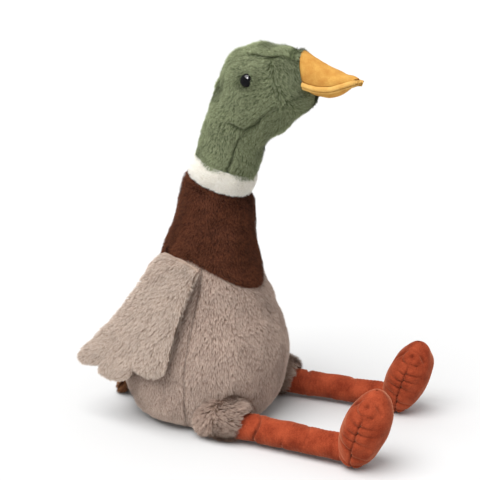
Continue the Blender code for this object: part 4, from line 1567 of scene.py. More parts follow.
        def crown(places: Array) -> Array:
            """The crown seam on the duck's left."""
            return math.pi - self.seam_angle(self.crown_shares, places)

        panels = (
            ("throat_gusset", lambda p: -throat(p), throat, 72),
            ("head_left_panel", throat, crown, 72),
            ("crown_gusset", crown, lambda p: math.tau - crown(p), 40),
            (
                "head_right_panel",
                lambda p: math.tau - crown(p),
                lambda p: math.tau - throat(p),
                72,
            ),
        )
        pieces = []
        for number, (node, first, last, columns) in enumerate(panels):
            cloth = self.cloth(first, last, columns)
            self.comb(cloth, node == "crown_gusset")
            distance = self.face_distance(cloth)
            cloth.move(-UNDER_PILE * (0.2 + 0.8 * smoothstep(distance / (10 * MM))))
            cloth.swell(wavelength=26 * MM, height=0.6 * MM, seed=21)
            sharp = 0.25 + 0.4 * smoothstep((distance - 34 * MM) / (14 * MM))
            # Painted light on the crown, which faces up; painted shade on the cheeks and throat
            # near the beak.
            if node == "crown_gusset":
                cloth.shades *= 1.18
            else:
                cloth.shades *= 1 - 0.28 * bell(distance, width=19 * MM)
            for edge in (Edge.START, Edge.END):
                cloth.join(edge, sharp)
            for side in Side:
                self.sew_dart(cloth, side)
                self.open_eye(cloth, side)
            pieces += WARDROBE.furry(node, cloth, GREEN_PLUSH, HEAD_PILE, node, 140 + number)
        pieces.append(WARDROBE.filling("head_stuffing", "", depth=7.5 * MM))
        blend_all(pieces)
        for side in Side:
            self.dress_eye(side)

    def sew_dart(self, cloth: Cloth, side: Side) -> None:
        """Sews the short dart that runs back across a cheek from the throat seam.

        Args:
            cloth: A panel of the head.
            side: Which cheek.
        """
        places, angles = np.array(self.dart_places).T
        line = self.form().points(places, side.value * np.radians(angles))
        distance = np.sqrt(np.maximum(cloth.line_distance(line) ** 2 - UNDER_PILE**2, 0))
        cloth.sew(distance, depth=1.0 * MM, width=5.0 * MM, part=0.15)
        cloth.sew(distance, depth=1.2 * MM, width=1.4 * MM, part=0.85, shadow=0.75)

    def open_eye(self, cloth: Cloth, side: Side) -> None:
        """Draws the cloth in round an eye, and brushes its pile out from under the button.

        Args:
            cloth: A panel of the head.
            side: Which eye.
        """
        centre = np.array(self.eye_frame(side).translation)
        away = cloth.grid - centre
        distance = np.linalg.norm(away, axis=-1)
        cloth.sew(distance, depth=1.0 * MM, width=8.0 * MM, shadow=0.3)
        clear = smoothstep((distance - self.eye_radius + 1.0 * MM) / (1.4 * MM))
        full = smoothstep((distance - self.eye_radius) / (5 * MM))
        cloth.lengths *= 0.1 + 0.4 * clear + 0.5 * full
        level = unit(np.cross(np.array(self.eye_frame(side).col[2][:3]), [0, 0, 1]))
        aside = unit(away) @ level
        cloth.move(self.lid * bell(distance - self.lid_distance, width=2.4 * MM) * aside**2)
        close = bell(distance, width=8 * MM)[..., None]
        cloth.combs = unit(cloth.combs - level * aside[..., None] * close * 2.2)

    def eye_frame(self, side: Side) -> Matrix:
        """The frame of the head's surface at an eye, with Z looking out.

        Args:
            side: Which eye.

        Returns:
            The frame.
        """
        form = self.form()
        place = self.eye_place_share * (len(form.stations) - 1)
        angle = side.value * self.eye_angle
        spots = form.points(
            np.array([place, place + 0.5, place]),
            np.array([angle, angle, angle + math.radians(5)]),
        )
        point, along, around = (Vector(spot) for spot in spots)
        around = around - point
        out = around.cross(along - point).normalized()
        across = out.cross(around).normalized()
        made = Matrix((across, out.cross(across), out)).transposed().to_4x4()
        made.translation = point
        return made

    def dress_eye(self, side: Side) -> None:
        """One safety eye and the washer behind it.

        Args:
            side: Which eye.
        """
        turns = np.linspace(0, math.pi / 2, 14)
        rise = 0.3 * MM + self.eye_dome * np.cos(turns)
        dome = np.stack([self.eye_radius * np.sin(turns), rise], axis=1)
        rim = (self.eye_radius - 0.25 * MM, -0.1 * MM)
        shank = MM * np.array([(1.8, -0.2), (1.8, -5.8), (1.3, -6.2), (0.0, -6.2)])
        bore, edge, brink = 1.95, 7.4, 7.0
        washer = ((bore, 2.2), (brink, 2.2), (edge, 2.6), (edge, 3.0), (brink, 3.4), (bore, 3.4))
        washer = MM * np.array([*washer, washer[0]]) * (1, -1)
        name = side.word + "_eye"
        parts = (
            ("_button", name, np.concatenate([dome, [rim], shank]), 56, BLACK_PLASTIC),
            ("_lock_washer", name + "_washer", washer, 40, CLEAR_PLASTIC),
        )
        place = self.eye_frame(side) @ Matrix.Translation((0, 0, -self.eye_sink))
        for ending, node, profile, segments, plastic in parts:
            mesh = turned_mesh(name + ending, profile, segments)
            mesh.transform(place)
            piece = WARDROBE.hang(name + ending, mesh, plastic.finish())
            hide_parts(node)
            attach(piece, "head")


HEAD = Head()


@dataclass(frozen=True)
class Beak:
    """The felt beak: an upper and a lower cover, and a mouth sheet whose brim stands out.

    Attributes are the part's own driving sizes, in metres, and the powers of its curves.
    """

    length: float = 44.0 * MM
    half_width: float = 19.5 * MM
    rise: float = 24.0 * MM
    brim: float = 4.8 * MM
    brim_droop: float = 3.6 * MM
    brim_wave: float = 0.35 * MM
    mouth_height: float = 321.0 * MM
    mouth_dip: float = 4.0 * MM
    mouth_turn_up: float = 1.8 * MM
    lower_length: float = 43.0 * MM
    lower_half_width: float = 17.2 * MM
    lower_depth: float = 8.6 * MM
    felt: float = 1.2 * MM
    brim_felt: float = 1.4 * MM
    plan_power: float = 2.4
    ridge_power: float = 1.15
    chin_power: float = 3.8
    dip_power: float = 0.8
    end_share: float = 0.985
    tip_start: float = 0.93

    def point(self, reach: Array, across: Array, lift: Array) -> Array:
        """A point of the beak.

        Args:
            reach: Its distance ahead of the face.
            across: Its distance to the duck's left.
            lift: Its height above the mouth.

        Returns:
            The points, with a last axis of three.
        """
        reach, across, lift = np.broadcast_arrays(reach, across, lift)
        share = reach / self.length
        dip = np.sin(math.pi * np.minimum(share, 1.0) ** self.dip_power)
        height = self.mouth_height - self.mouth_dip * dip + self.mouth_turn_up * share**3 + lift
        lean = math.tan(math.pi / 2 - HEAD.face_tilt) * np.maximum(1 - share, 0.0)
        root = HEAD.face_forward + lean * (HEAD.face_height - height)
        return np.stack([across, -root - reach, height], axis=-1)

    def plan(self, shares: Array) -> Array:
        """The share of its half width that the beak has along it."""
        return np.sqrt(np.maximum(1 - shares**self.plan_power, 0))

    def cover(self, length: float, half_width: float, rise: float, power: float) -> Cloth:
        """One cover, an arch over the mouth that runs down to its tip.

        Args:
            length: Its length.
            half_width: Its half width at the root.
            rise: Its height at the root, negative below the mouth.
            power: The power of the curve by which it comes down.

        Returns:
            The cover's outline.
        """
        shares = np.sin(np.linspace(0, math.pi / 2 * self.end_share, 34))[:, None]
        turns = np.linspace(0, math.pi, 41)[None, :]
        wide = half_width * self.plan(shares)
        high = abs(rise) * (1 - shares**power)
        lift = math.copysign(1, rise) * (self.felt / 2 + high * np.sin(turns))
        grid = self.point(shares * length, wide * np.cos(turns), lift)
        return Cloth(grid, turned=rise > 0)

    def mouth(self, lift: float, grow: float) -> Array:
        """One face of the mouth sheet, out to its brim.

        Args:
            lift: The face's height above the sheet's middle.
            grow: How much further out its brim reaches.

        Returns:
            A grid of points.
        """
        shares = np.sin(np.linspace(0, math.pi / 2 * self.end_share, 40))[:, None]
        spots = np.concatenate([[-1.0], np.linspace(-1, 1, 31), [1.0]])[None, :]
        brim = np.zeros((1, 33))
        brim[0, [0, -1]] = 1
        tip = smoothstep((shares - self.tip_start) / (1 - self.tip_start))
        brim = np.maximum(brim, tip)
        out = (self.brim + grow) * brim
        waves = self.brim_wave * np.sin(shares * 9) * brim
        reach = shares * (self.length + out * (1 - 0.5 * spots**2 * tip))
        across = spots * (self.half_width * self.plan(shares) + out)
        return self.point(reach, across, lift - self.brim_droop * brim + waves)

    def dress(self) -> None:
        """The two covers, the layered brim and the fillings."""
        upper = (self.length, self.half_width, self.rise, self.ridge_power)
        lower = (self.lower_length, self.lower_half_width, -self.lower_depth, self.chin_power)
        for name, sizes in (("upper_beak", upper), ("lower_beak", lower)):
            cloth = self.cover(*sizes)
            cloth.swell(wavelength=11 * MM, height=0.25 * MM, seed=31)
            root = np.linspace(1, 0, len(cloth.grid))[:, None]
            ridge = np.sin(np.linspace(0, math.pi, cloth.grid.shape[1]))[None, :]
            # Painted light along the ridge, and painted shade low at the root.
            cloth.shades = 1.04 + 0.06 * ridge - 0.2 * root**2 * (1 - ridge)
            piece = WARDROBE.padded_panel(
                name + "_felt", cloth, GOLD_FELT, self.felt, name + "_cover"
            )
            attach(piece, "head")
            WARDROBE.filling(name + "_stuffing", "head", depth=0.4 * MM)
        self.dress_mouth()

    def dress_mouth(self) -> None:
        """The mouth sheet, whose brim shows two layers of felt, painted lighter where light
        catches them.
        """
        layers = (("upper_brim_felt", 1.5, 0.4), ("lower_brim_felt", -0.5, -0.3))
        for number, (name, lift, grow) in enumerate(layers):
            cloth = Cloth(self.mouth(lift * MM, grow * MM))
            cloth.face(np.array([0, 0, 1]))
            mesh = cloth.sheet(name, self.brim_felt)
            piece = WARDROBE.hang(name, mesh, LIT_BRIM_FELT.finish())
            if number == 0:
                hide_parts("mouth_sheet")
            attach(piece, "head")


@dataclass(frozen=True)
class Wing:
    """A wing: two layers of faux fur over a wadding, in three lobes, sewn on below the chest.

    Attributes are the part's own driving sizes, in metres and radians, and shares of them.
    """

    side: Side
    out: float = 52.5 * MM
    back: float = 3.0 * MM
    height: float = 153.0 * MM
    yaw: float = math.radians(17)
    rise: float = math.radians(9)
    top_width: float = 47.0 * MM
    hem_width: float = 123.0 * MM
    hem_start: float = 3.0 * MM
    hem_out: float = 88.0 * MM
    hem_yaw: float = math.radians(11)
    hem_height: float = 48.0 * MM
    thickness: float = 10.0 * MM
    bulge: float = 7.0 * MM
    waist: float = 12.0 * MM
    tuck: float = 0.05
    tuck_in: float = 80 * MM
    bend: tuple = (2 * MM, 16 * MM)
    channel: float = 0.45
    channel_start: float = 0.62
    lobes: tuple = (
        (0.34, 0.915, 0.14, 0.055),
        (0.67, 1.03, 0.075, 0.075),
        (1.0, 0.955, 0.04, 0.17),
    )
    lobe_columns: int = 16
    rows: int = 44

    def columns(self) -> Array:
        """For each column: its share of the width, its hem's reach and its fullness."""
        found = []
        start = 0.0
        for end, reach, front_draw, rear_draw in self.lobes:
            turns = np.linspace(0, math.pi, self.lobe_columns + 1)
            for turn in turns if start == 0.0 else turns[1:]:
                share = start + (end - start) * (1 - math.cos(turn)) / 2
                draw = front_draw if turn < math.pi / 2 else rear_draw
                found.append((share, reach - draw * (1 - math.sin(turn)), math.sin(turn)))
            start = end
        return np.array(found)

    def faces(self) -> tuple[Array, Array, Array]:
        """The outer and the inner face as grids, and the direction out of the wing."""
        sign = self.side.value
        out = np.array([sign * math.cos(self.yaw), math.sin(self.yaw), 0])
        level = np.array([-sign * math.sin(self.yaw), math.cos(self.yaw), 0])
        back = level * math.cos(self.rise) + np.array([0, 0, math.sin(self.rise)])
        origin = np.array([sign * self.out, self.back, self.height])
        share, reach, full = self.columns().T
        drop = np.linspace(-self.tuck, 1, self.rows)[:, None]
        along = drop * reach * (1 - 1.6 * MM / self.height)
        top = origin + back * ((share - 0.5) * self.top_width)[:, None]
        run = share * self.hem_width - self.hem_start
        hem_out = sign * (self.hem_out - run * math.sin(self.hem_yaw))
        hem_back = run * math.cos(self.hem_yaw)
        hem = np.stack([hem_out, hem_back, np.full(len(run), self.hem_height)], axis=1)
        along = along[..., None]
        swell = np.sin(math.pi * along)
        middle = top * (1 - along) + hem * along + out * self.bulge * swell
        middle = middle - back * self.waist * swell * share[:, None] ** 2
        middle = middle + out * self.tuck_in * np.minimum(drop, 0)[..., None]
        below = np.clip(drop / self.channel_start, 0.0, 1.0)
        channel = 1 - below * (1 - self.channel) * (1 - full)
        edge = 1 - np.abs(2 * share - 1) ** 5
        edge = edge * (1 - drop**6) * (1 - (1 - drop) ** 5)
        fullness = np.sqrt(np.maximum(edge * channel**2, 0))
        half = (FLAP_EDGE + (self.thickness / 2 - FLAP_PILE) * fullness)[..., None]
        return middle + out * half, middle - out * half, out

    def dress(self) -> None:
        """The outer and the inner panel and the wadding."""
        outer, inner, out = self.faces()
        word = self.side.word
        body = word + "_wing"
        for number, (face, grid) in enumerate((("outer", outer), ("inner", inner))):
            cloth = Cloth(grid)
            cloth.face(out if face == "outer" else -out)
            self.comb(cloth)
            name = f"{word}_wing_{face}_panel"
            seed = 160 + 10 * (self.side is Side.LEFT) + number
            cloth.swell(wavelength=24 * MM, height=0.4 * MM, seed=seed)
            pieces = WARDROBE.furry(name, cloth, LIT_WING_PLUSH, BODY_PILE, name, seed)
            blend_all(pieces)
        WARDROBE.filling(word + "_wing_wadding", body, depth=2.0 * MM)

    def comb(self, cloth: Cloth) -> None:
        """Combs the pile down the wing, and outward along its edges.

        Args:
            cloth: A face of the wing, whose rows run down it.
        """
        down = unit(np.gradient(cloth.grid, axis=0))
        aside = unit(np.gradient(cloth.grid, axis=1))
        first = np.exp(-cloth.edge_distance(Edge.START) / (5 * MM))[..., None]
        last = np.exp(-cloth.edge_distance(Edge.END) / (5 * MM))[..., None]
        cloth.combs = unit(down + aside * (last - first) * 0.8)
        hem = np.exp(-cloth.edge_distance(Edge.TOP) / (4 * MM))
        cloth.lengths *= 1 - 0.25 * hem


@dataclass(frozen=True)
class Tail:
    """The short brown tail, a flap low on the back.

    Attributes are the part's own driving sizes, in metres and radians, and shares of them.
    """

    root_width: float = 42.0 * MM
    end_width: float = 30.0 * MM
    length: float = 32.0 * MM
    droop: float = math.radians(54)
    thickness: float = 12.5 * MM
    corner: float = 0.28
    bend: tuple = (1 * MM, 7 * MM)
    rows: int = 18
    columns: int = 30

    def faces(self) -> tuple[Array, Array]:
        """The upper and the lower face as grids."""
        along = np.array([0, math.cos(self.droop), -math.sin(self.droop)])
        out = np.array([0, math.sin(self.droop), math.cos(self.droop)])
        origin = joint_place("tail_lift") - along * 2 * MM
        drop = np.linspace(0, 1, self.rows)[:, None]
        across = np.linspace(-1, 1, self.columns)[None, :]
        corner = self.corner * (1 - np.sqrt(1 - across**2))
        width = (self.root_width + (self.end_width - self.root_width) * drop**2) / 2 - 1.5 * MM
        aside = across * width
        hug = (1 - drop) * aside**2 / (2 * TRUNK.widest_radius)
        middle = origin + along * ((self.length - 1 * MM) * drop * (1 - corner))[..., None]
        middle = middle + np.stack([aside, -hug, np.zeros_like(hug)], axis=-1)
        edge = (1 - across**4) * (1 - drop**4) * (1 - (1 - drop) ** 4)
        half = (FLAP_EDGE + (self.thickness / 2 - FLAP_PILE) * np.sqrt(edge))[..., None]
        return middle + out * half, middle - out * half

    def dress(self) -> None:
        """The upper and the lower panel and the wadding."""
        upper, lower = self.faces()
        for number, (face, grid) in enumerate((("upper", upper), ("lower", lower))):
            cloth = Cloth(grid)
            cloth.face(np.array([0, 0, 1 if face == "upper" else -1]))
            cloth.combs = -cloth.combs
            name = f"tail_{face}_panel"
            pieces = WARDROBE.furry(name, cloth, LIT_TAIL_PLUSH, TAIL_PILE, name, 180 + number)
            blend_all(pieces)
        WARDROBE.filling("tail_wadding", "tail", depth=3.0 * MM)


@dataclass(frozen=True)
class Leg:
    """A leg: a shaggy thigh, a velvet tube and a puckered velvet foot.

    Attributes are the part's own driving sizes, in metres and radians, and shares of them. Places
    are counted in the foot's stations, and go with angles from its sole in degrees. A row of
    folds is a place, a width and a depth in millimetres, the side that the fold faces, in
    radians, and how far round the tube it runs.
    """

    side: Side
    thigh_radius: float = 20.5 * MM
    thigh_reach: float = 22 * MM
    thigh_back: float = 3 * MM
    thigh_sag: float = 1.5 * MM
    thigh_under_pile: float = 2.2 * MM
    tube_radius: float = 13.0 * MM
    length: float = 110.0 * MM
    splay: float = math.radians(2.5)
    root_height: float = 15.0 * MM
    ankle_height: float = 14.6 * MM
    ankle_radius: float = 12.2 * MM
    heel_forward: float = 15.0 * MM
    foot_height: float = 73.5 * MM
    foot_half_width: float = 21.5 * MM
    foot_half_depth: float = 21.2 * MM
    foot_lean: float = 18.0 * MM
    foot_seam: float = math.radians(66)
    foot_seam_bow: float = math.radians(27)
    fold_angles: tuple = (161, 160, 142, 104, 71, 53, 43)
    fold_places: tuple = (5.0, 5.4, 5.9, 6.5, 6.2, 5.8, 5.4)
    dimple_place: tuple = (5.9, 93)
    tuck_spacing: float = 9.6 * MM
    tuck_depth: float = 2.1 * MM
    tuck_reach: float = 12 * MM
    tuck_top: float = 0.72
    cushion: float = 0.9 * MM
    toe_swell: float = 1.3 * MM
    toe_swell_reach: float = 11 * MM
    fold_wander: float = 2.5 * MM
    wrinkle_wander: float = 1.4 * MM
    wrinkle: float = 0.12 * MM
    wrinkle_spacing: float = 3.1 * MM
    folds: tuple = ((35, 1.7, 1.7, 0.0, 1.6), (62, 1.8, 0.9, 1.2, 1.0), (82, 2.2, 0.7, 5.2, 1.0))
    tube_columns: int = 72
    foot_columns: int = 120
    velour: float = 0.8 * MM
    bend: tuple = (20 * MM, 2 * MM)
    gather_places: tuple = (((5.45, 120), (5.35, 98)), ((5.2, 68), (5.35, 90)))
    seam_end: float = 54.0 * MM
    shares: tuple = (
        (0.0, 0.06, 0.06, 0.0),
        (0.035, 0.42, 0.40, 0.02),
        (0.13, 0.74, 0.70, 0.10),
        (0.30, 0.92, 0.92, 0.28),
        (0.50, 1.0, 1.0, 0.52),
        (0.70, 0.93, 0.92, 0.76),
        (0.86, 0.72, 0.66, 0.92),
        (0.96, 0.40, 0.36, 1.0),
        (1.0, 0.05, 0.05, 1.02),
    )

    def hip(self) -> Array:
        """The hip's centre."""
        return joint_place(self.side.word + "_hip")

    def placed(self, grid: Array) -> Array:
        """A grid of the leg's own frame, whose origin is under the hip, in the duck's frame.

        Args:
            grid: Points with a last axis of three.

        Returns:
            The points in place.
        """
        hip = self.hip()
        turn = Matrix.Rotation(self.side.value * self.splay, 4, "Z")
        stand = np.array(Matrix.Translation((hip[0], hip[1], 0)) @ turn)
        return grid @ stand[:3, :3].T + stand[:3, 3]

    def ring(self, ahead: Array, height: Array, radius: Array, turns: Array) -> Array:
        """Rings of a limb, square to the leg's length.

        Args:
            ahead: Each ring's distance ahead of the hip.
            height: The height of its centre.
            radius: Its radius at each turn.
            turns: Angles round it, from the top toward the duck's right.

        Returns:
            A grid of points.
        """
        ahead, height, radius, turns = np.broadcast_arrays(ahead, height, radius, turns)
        across = -radius * np.sin(turns)
        return np.stack([across, -ahead, height + radius * np.cos(turns)], axis=-1)

    def dress_thigh(self) -> None:
        """The thigh: a ball of long shaggy fur, combed over the top of the leg."""
        hip = self.hip()
        turns = np.linspace(0, math.tau, 64, endpoint=False)[None, :]
        angles = np.linspace(math.radians(150), math.radians(34), 34)[:, None]
        reach = self.thigh_reach * np.sign(np.cos(angles))
        ahead = reach * np.abs(np.cos(angles)) ** 0.8 - self.thigh_back
        radius = (self.thigh_radius - self.thigh_under_pile) * np.sin(angles) ** 0.55
        slant = 0.25 * radius * np.cos(turns)
        grid = self.ring(ahead + slant, hip[2] - self.thigh_sag, radius, turns)
        cloth = Cloth(self.placed(grid), closed=True)
        behind = smoothstep((-ahead - 1 * MM) / (9 * MM)) * np.ones_like(turns)
        climb = (cloth.grid[..., 2] - hip[2]) / self.thigh_radius
        low = smoothstep(0.3 - climb)
        front = cloth.combs * (behind - 1)[..., None]
        spread = cloth.outward * low[..., None] * np.array([0.5, 0.5, -0.2])
        cloth.combs = unit(np.array([0, 0.7, -0.8]) * behind[..., None] + front + spread)
        # Painted light on the low fibres, which lie in the ball's shade.
        cloth.shades *= 1 + 0.08 * low
        over_leg = smoothstep(ahead / (10 * MM) - 0.4) * smoothstep(climb)
        cloth.lengths *= 1 + 0.45 * over_leg
        word = self.side.word
        name = word + "_thigh_cover"
        seed = 200 + 10 * (self.side is Side.LEFT)
        for piece in WARDROBE.furry(name, cloth, SHADED_CUFF_PLUSH, CUFF_PILE, name, seed):
            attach(piece, word + "_thigh")
        WARDROBE.filling(word + "_thigh_stuffing", word + "_thigh", depth=4.0 * MM)

    def creases(self, ahead: Array, turns: Array) -> Array:
        """How far the tube's creases draw in.

        Args:
            ahead: Distance from the hip.
            turns: Angle round the tube.

        Returns:
            A height for each point, in metres.
        """
        found = np.zeros(np.broadcast_shapes(ahead.shape, turns.shape))
        wander = self.fold_wander * np.sin(2 * turns)
        for middle, width, depth, facing, spread in self.folds:
            width, depth = width * MM, depth * MM
            near = np.cos(self.side.value * -turns - facing - math.pi / 2)
            run = ahead - middle * MM - wander
            found = found - depth * bell(run, width) * smoothstep((near + spread) / (1 + spread))
            found = found + 0.2 * depth * bell(run - 2.4 * width, 2 * width)
        waver = self.wrinkle_wander * np.sin(3 * turns + ahead / (9 * MM))
        turn = (ahead + waver) * math.tau / self.wrinkle_spacing
        return found + self.wrinkle * np.sin(turn)

    def dress_tube(self) -> None:
        """The velvet tube, with the creases of its soft filling."""
        turns = np.linspace(0, math.tau, self.tube_columns, endpoint=False)[None, :]
        start = (self.thigh_radius - self.tube_radius - 2 * MM) / self.length
        share = np.linspace(start, 1.0, 220)[:, None]
        ahead = share * self.length
        height = self.root_height + (self.ankle_height - self.root_height) * share
        radius = self.tube_radius + (self.ankle_radius - self.tube_radius) * share
        tube = self.ring(ahead, height, radius, turns)
        angles = np.linspace(0, math.radians(50), 10)[1:, None]
        end = self.length + self.ankle_radius * np.sin(angles)
        ball = self.ring(end, self.ankle_height, self.ankle_radius * np.cos(angles), turns)
        cloth = Cloth(self.placed(np.concatenate([tube, ball])), closed=True)
        depth = np.zeros(cloth.grid.shape[:2])
        depth[: len(share)] = self.creases(ahead, turns)
        cloth.move(-0.4 * MM)
        cloth.move(depth)
        # Painted shade in the creases and on the tube's underside.
        cloth.shades = 1 - 0.5 * smoothstep(-depth / (1.5 * MM) - 0.2)
        under = smoothstep((self.root_height - cloth.grid[..., 2]) / self.tube_radius)
        cloth.shades *= 1 - 0.2 * under
        cloth.swell(wavelength=20 * MM, height=0.35 * MM, seed=41)
        cloth.rest_on(0.6 * MM)
        word = self.side.word
        piece = WARDROBE.padded_panel(
            word + "_leg_velvet", cloth, RUST_VELVET, self.velour, word + "_leg_tube"
        )
        ankle = joint_place(word + "_ankle")
        start, end = (ankle + np.array([0, reach, 0]) for reach in self.bend)
        blend_all([piece])
        WARDROBE.filling(word + "_leg_stuffing", word + "_leg", depth=4.2 * MM)

    def foot_form(self) -> StuffedForm:
        """The egg of the foot, from its heel to its toe."""
        start = self.length + self.heel_forward
        rows = []
        for height, width, depth, lean in self.shares:
            size = (width * self.foot_half_width, depth * self.foot_half_depth)
            place = (start + lean * self.foot_lean, CLEARANCE + height * self.foot_height)
            rows.append((*place, 0.0, *size))
        return StuffedForm(np.array(rows))

    def tucks(self, cloth: Cloth, seams: tuple[Edge, Edge], slant: float) -> None:
        """Draws short tucks across each seam, with soft cushions between them.

        Args:
            cloth: A panel of the foot, whose rows run from heel to toe.
            seams: Its two seams.
            slant: How fast the tucks drop away from the seam, in tucks per metre.
        """
        height = cloth.grid[..., 2].copy()
        spacing = self.tuck_spacing
        for number, edge in enumerate(seams):
            distance = cloth.edge_distance(edge)
            held = bell(distance, width=self.tuck_reach)
            held = held * smoothstep((self.foot_height * self.tuck_top - height) / (8 * MM))
            phase = height / spacing + 0.35 * np.sin(height / (7 * MM) + number) + distance * slant
            crease = bell((phase - np.round(phase)) * spacing, width=1.4 * MM)
            cloth.move(held * (self.cushion - self.tuck_depth * crease))
            # Painted shade in each tuck.
            cloth.shades *= 1 - 0.15 * held * crease
            seamed = 0.1 + 0.9 * smoothstep((self.seam_end - height) / (6 * MM))
            cloth.sew(distance, depth=1.5 * MM * seamed, width=1.2 * MM, shadow=0.25 * seamed)

    def dress_foot(self) -> None:
        """The sole and the upper of the foot, puckered along their seam."""
        form = self.foot_form()
        word = self.side.word
        seam = self.foot_seam
        end = len(form.stations) - 1.0
        places = (end * np.linspace(0.02, 0.985, 150))[:, None]
        panels = (
            ("foot_sole_panel", "sole_velvet", -seam, seam, 32.0),
            ("foot_upper_panel", "upper_velvet", seam, math.tau - seam, -40.0),
        )
        bow = self.foot_seam_bow * np.sin(math.pi * places / end) ** 0.35
        for node, name, start, stop, slant in panels:
            across = seam_spacing(self.foot_columns)[None, :]
            grown = bow if node == "foot_sole_panel" else -bow
            angles = start - grown + (stop - start + 2 * grown) * across
            grid = form.points(*(np.array(part) for part in np.broadcast_arrays(places, angles)))
            cloth = Cloth(self.placed(grid))
            cloth.move(-0.3 * MM)
            self.tucks(cloth, (Edge.START, Edge.END), slant)
            self.dimple(cloth)
            cloth.swell(wavelength=16 * MM, height=0.35 * MM, seed=51)
            cloth.rest_on(0.4 * MM)
            piece = WARDROBE.padded_panel(
                f"{word}_{name}", cloth, RUST_VELVET, self.velour, f"{word}_{node}"
            )
            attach(piece, word + "_foot")
        WARDROBE.filling(word + "_foot_stuffing", word + "_foot", depth=5.0 * MM)

    def dimple(self, cloth: Cloth) -> None:
        """Draws in the dimple at the top of each seam, with the arched fold over it.

        Args:
            cloth: A panel of the foot.
        """
        for sign in (1, -1):
            spot = self.foot_line((self.dimple_place,), sign)[0]
            distance = np.linalg.norm(cloth.grid - spot, axis=-1)
            cloth.move(self.toe_swell * smoothstep((self.toe_swell_reach - distance) / (5 * MM)))
            arch = zip(self.fold_places, self.fold_angles)
            fold = cloth.line_distance(self.foot_line(tuple(arch), sign))
            cloth.sew(fold, depth=1.7 * MM, width=1.3 * MM, shadow=0.2)
            cloth.sew(distance, depth=3.2 * MM, width=2.6 * MM, shadow=0.12)
            for places in self.gather_places:
                gather = cloth.line_distance(self.foot_line(places, sign))
                cloth.sew(gather, depth=1.3 * MM, width=1.0 * MM, shadow=0.12)

    def foot_line(self, places: tuple, sign: int) -> Array:
        """Points on the foot's surface.

        Args:
            places: Pairs of a place along the foot and an angle from its sole, in degrees.
            sign: 1 for the duck's left side of the foot, -1 for its right side.

        Returns:
            The points in the duck's frame, one a row.
        """
        along, angles = np.array(places, float).T
        return self.placed(self.foot_form().points(along, sign * np.radians(angles)))

    def dress(self) -> None:
        """The whole leg."""
        self.dress_thigh()
        self.dress_tube()
        self.dress_foot()


# Studio.


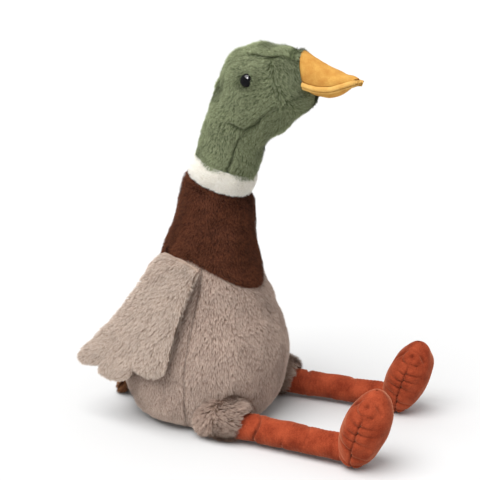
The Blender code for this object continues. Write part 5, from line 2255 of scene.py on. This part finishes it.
@dataclass(frozen=True)
class Studio:
    """A pale floor, soft light and the camera at the photograph's viewing angle.

    Attributes:
        distance: The camera's distance from the seat, over the floor, in metres.
        height: Its height.
        bearing: Its bearing round the duck, from the duck's right toward its front.
        heading: The bearing in which it looks.
        pitch: How far it looks down.
        focal_pixels: Its focal length, in pixels of the photograph.
        sensor: The width of its sensor, in millimetres.
        floor_reach: How far the floor reaches from the duck, in metres.
        fill_light: The white room's strength on matt surfaces.
        gloss_light: Its strength in reflections.
    """

    distance: float = 0.963
    height: float = 0.414
    bearing: float = math.radians(26.7)
    heading: float = math.radians(24.7)
    pitch: float = math.radians(14.4)
    focal_pixels: float = 1053.0
    sensor: float = 36.0
    floor_reach: float = 40.0
    fill_light: float = 0.68
    gloss_light: float = 0.3

    def camera(self) -> None:
        """Sets up the camera."""
        data = bpy.data.cameras.new("photo_camera")
        data.sensor_width = self.sensor
        data.lens = self.focal_pixels / PHOTO_WIDTH * self.sensor
        data.clip_end = 60
        camera = bpy.data.objects.new("photo_camera", data)
        east, north = (-turn(self.bearing) * self.distance for turn in (math.cos, math.sin))
        camera.location = (east, north, self.height)
        level = math.cos(self.pitch)
        look = Vector((math.cos(self.heading) * level, math.sin(self.heading) * level, 0.0))
        look.z = -math.sin(self.pitch)
        camera.rotation_euler = look.to_track_quat("-Z", "Y").to_euler()
        bpy.context.scene.collection.objects.link(camera)
        bpy.context.scene.camera = camera

    def floor(self) -> None:
        """A pale seamless floor, which keeps the duck's shadow."""
        reach = self.floor_reach
        corners = [(-reach, -reach, 0), (reach, -reach, 0), (reach, reach, 0), (-reach, reach, 0)]
        mesh = mesh_of("studio_floor", np.array(corners), [[0, 1, 2, 3]])
        made, tree, shader = start_material("matt_white_paper")
        values = {"Base Color": linear("#d0d0d0"), "Roughness": 0.9, "Specular IOR Level": 0.1}
        connect(tree, shader, values=values)
        mesh.materials.append(made)
        floor = bpy.data.objects.new("studio_floor", mesh)
        bpy.context.scene.collection.objects.link(floor)
        floor.visible_glossy = False

    def lights(self) -> None:
        """A broad sun from the camera's left, a small lamp that only gloss shows, and a fill."""
        lamps = (
            ("key_softbox", 3.45, 50, (0.44, -0.14, -1.0), True),
            ("catch_light", 3.0, 20, (0.70, 0.10, -0.62), False),
        )
        for name, energy, spread, aim, lights_cloth in lamps:
            sun = bpy.data.lights.new(name, "SUN")
            sun.energy = energy
            sun.angle = math.radians(spread)
            lamp = bpy.data.objects.new(name, sun)
            lamp.rotation_euler = Vector(aim).to_track_quat("-Z", "Y").to_euler()
            lamp.visible_diffuse = lights_cloth
            bpy.context.scene.collection.objects.link(lamp)
        world = bpy.data.worlds.new("white_room")
        world.use_nodes = True
        tree = world.node_tree
        path = add_node(tree, "ShaderNodeLightPath")
        links = {0: path.outputs["Is Camera Ray"], 1: path.outputs["Is Transmission Ray"]}
        seen = add_node(tree, "ShaderNodeMath", links, operation="MAXIMUM")
        glossy = {"Value": path.outputs["Is Glossy Ray"]}
        levels = {"To Min": self.fill_light, "To Max": self.gloss_light}
        room = add_node(tree, "ShaderNodeMapRange", glossy, levels)
        links = {0: seen.outputs[0], 1: room.outputs["Result"]}
        strength = add_node(tree, "ShaderNodeMath", links, operation="MAXIMUM")
        links = {"Strength": strength.outputs[0]}
        connect(tree, tree.nodes["Background"], links, {"Color": (1, 1, 1, 1)})
        bpy.context.scene.world = world
        bpy.context.scene.view_settings.view_transform = "Standard"

    def set_up(self) -> None:
        """The whole studio."""
        self.camera()
        self.floor()
        self.lights()


def main() -> None:
    """Builds and dresses every sub-assembly of the duck."""
    logging.basicConfig(level=logging.INFO, format="%(name)s: %(message)s")
    Studio().set_up()
    TRUNK.dress_torso()
    TRUNK.dress_sleeve()
    TRUNK.dress_ring()
    HEAD.dress()
    Beak().dress()
    for side in Side:
        Wing(side).dress()
        Leg(side).dress()
    Tail().dress()
    LOG.info("%d pieces dressed", WARDROBE.dressed)


if __name__ == "__main__":
    main()
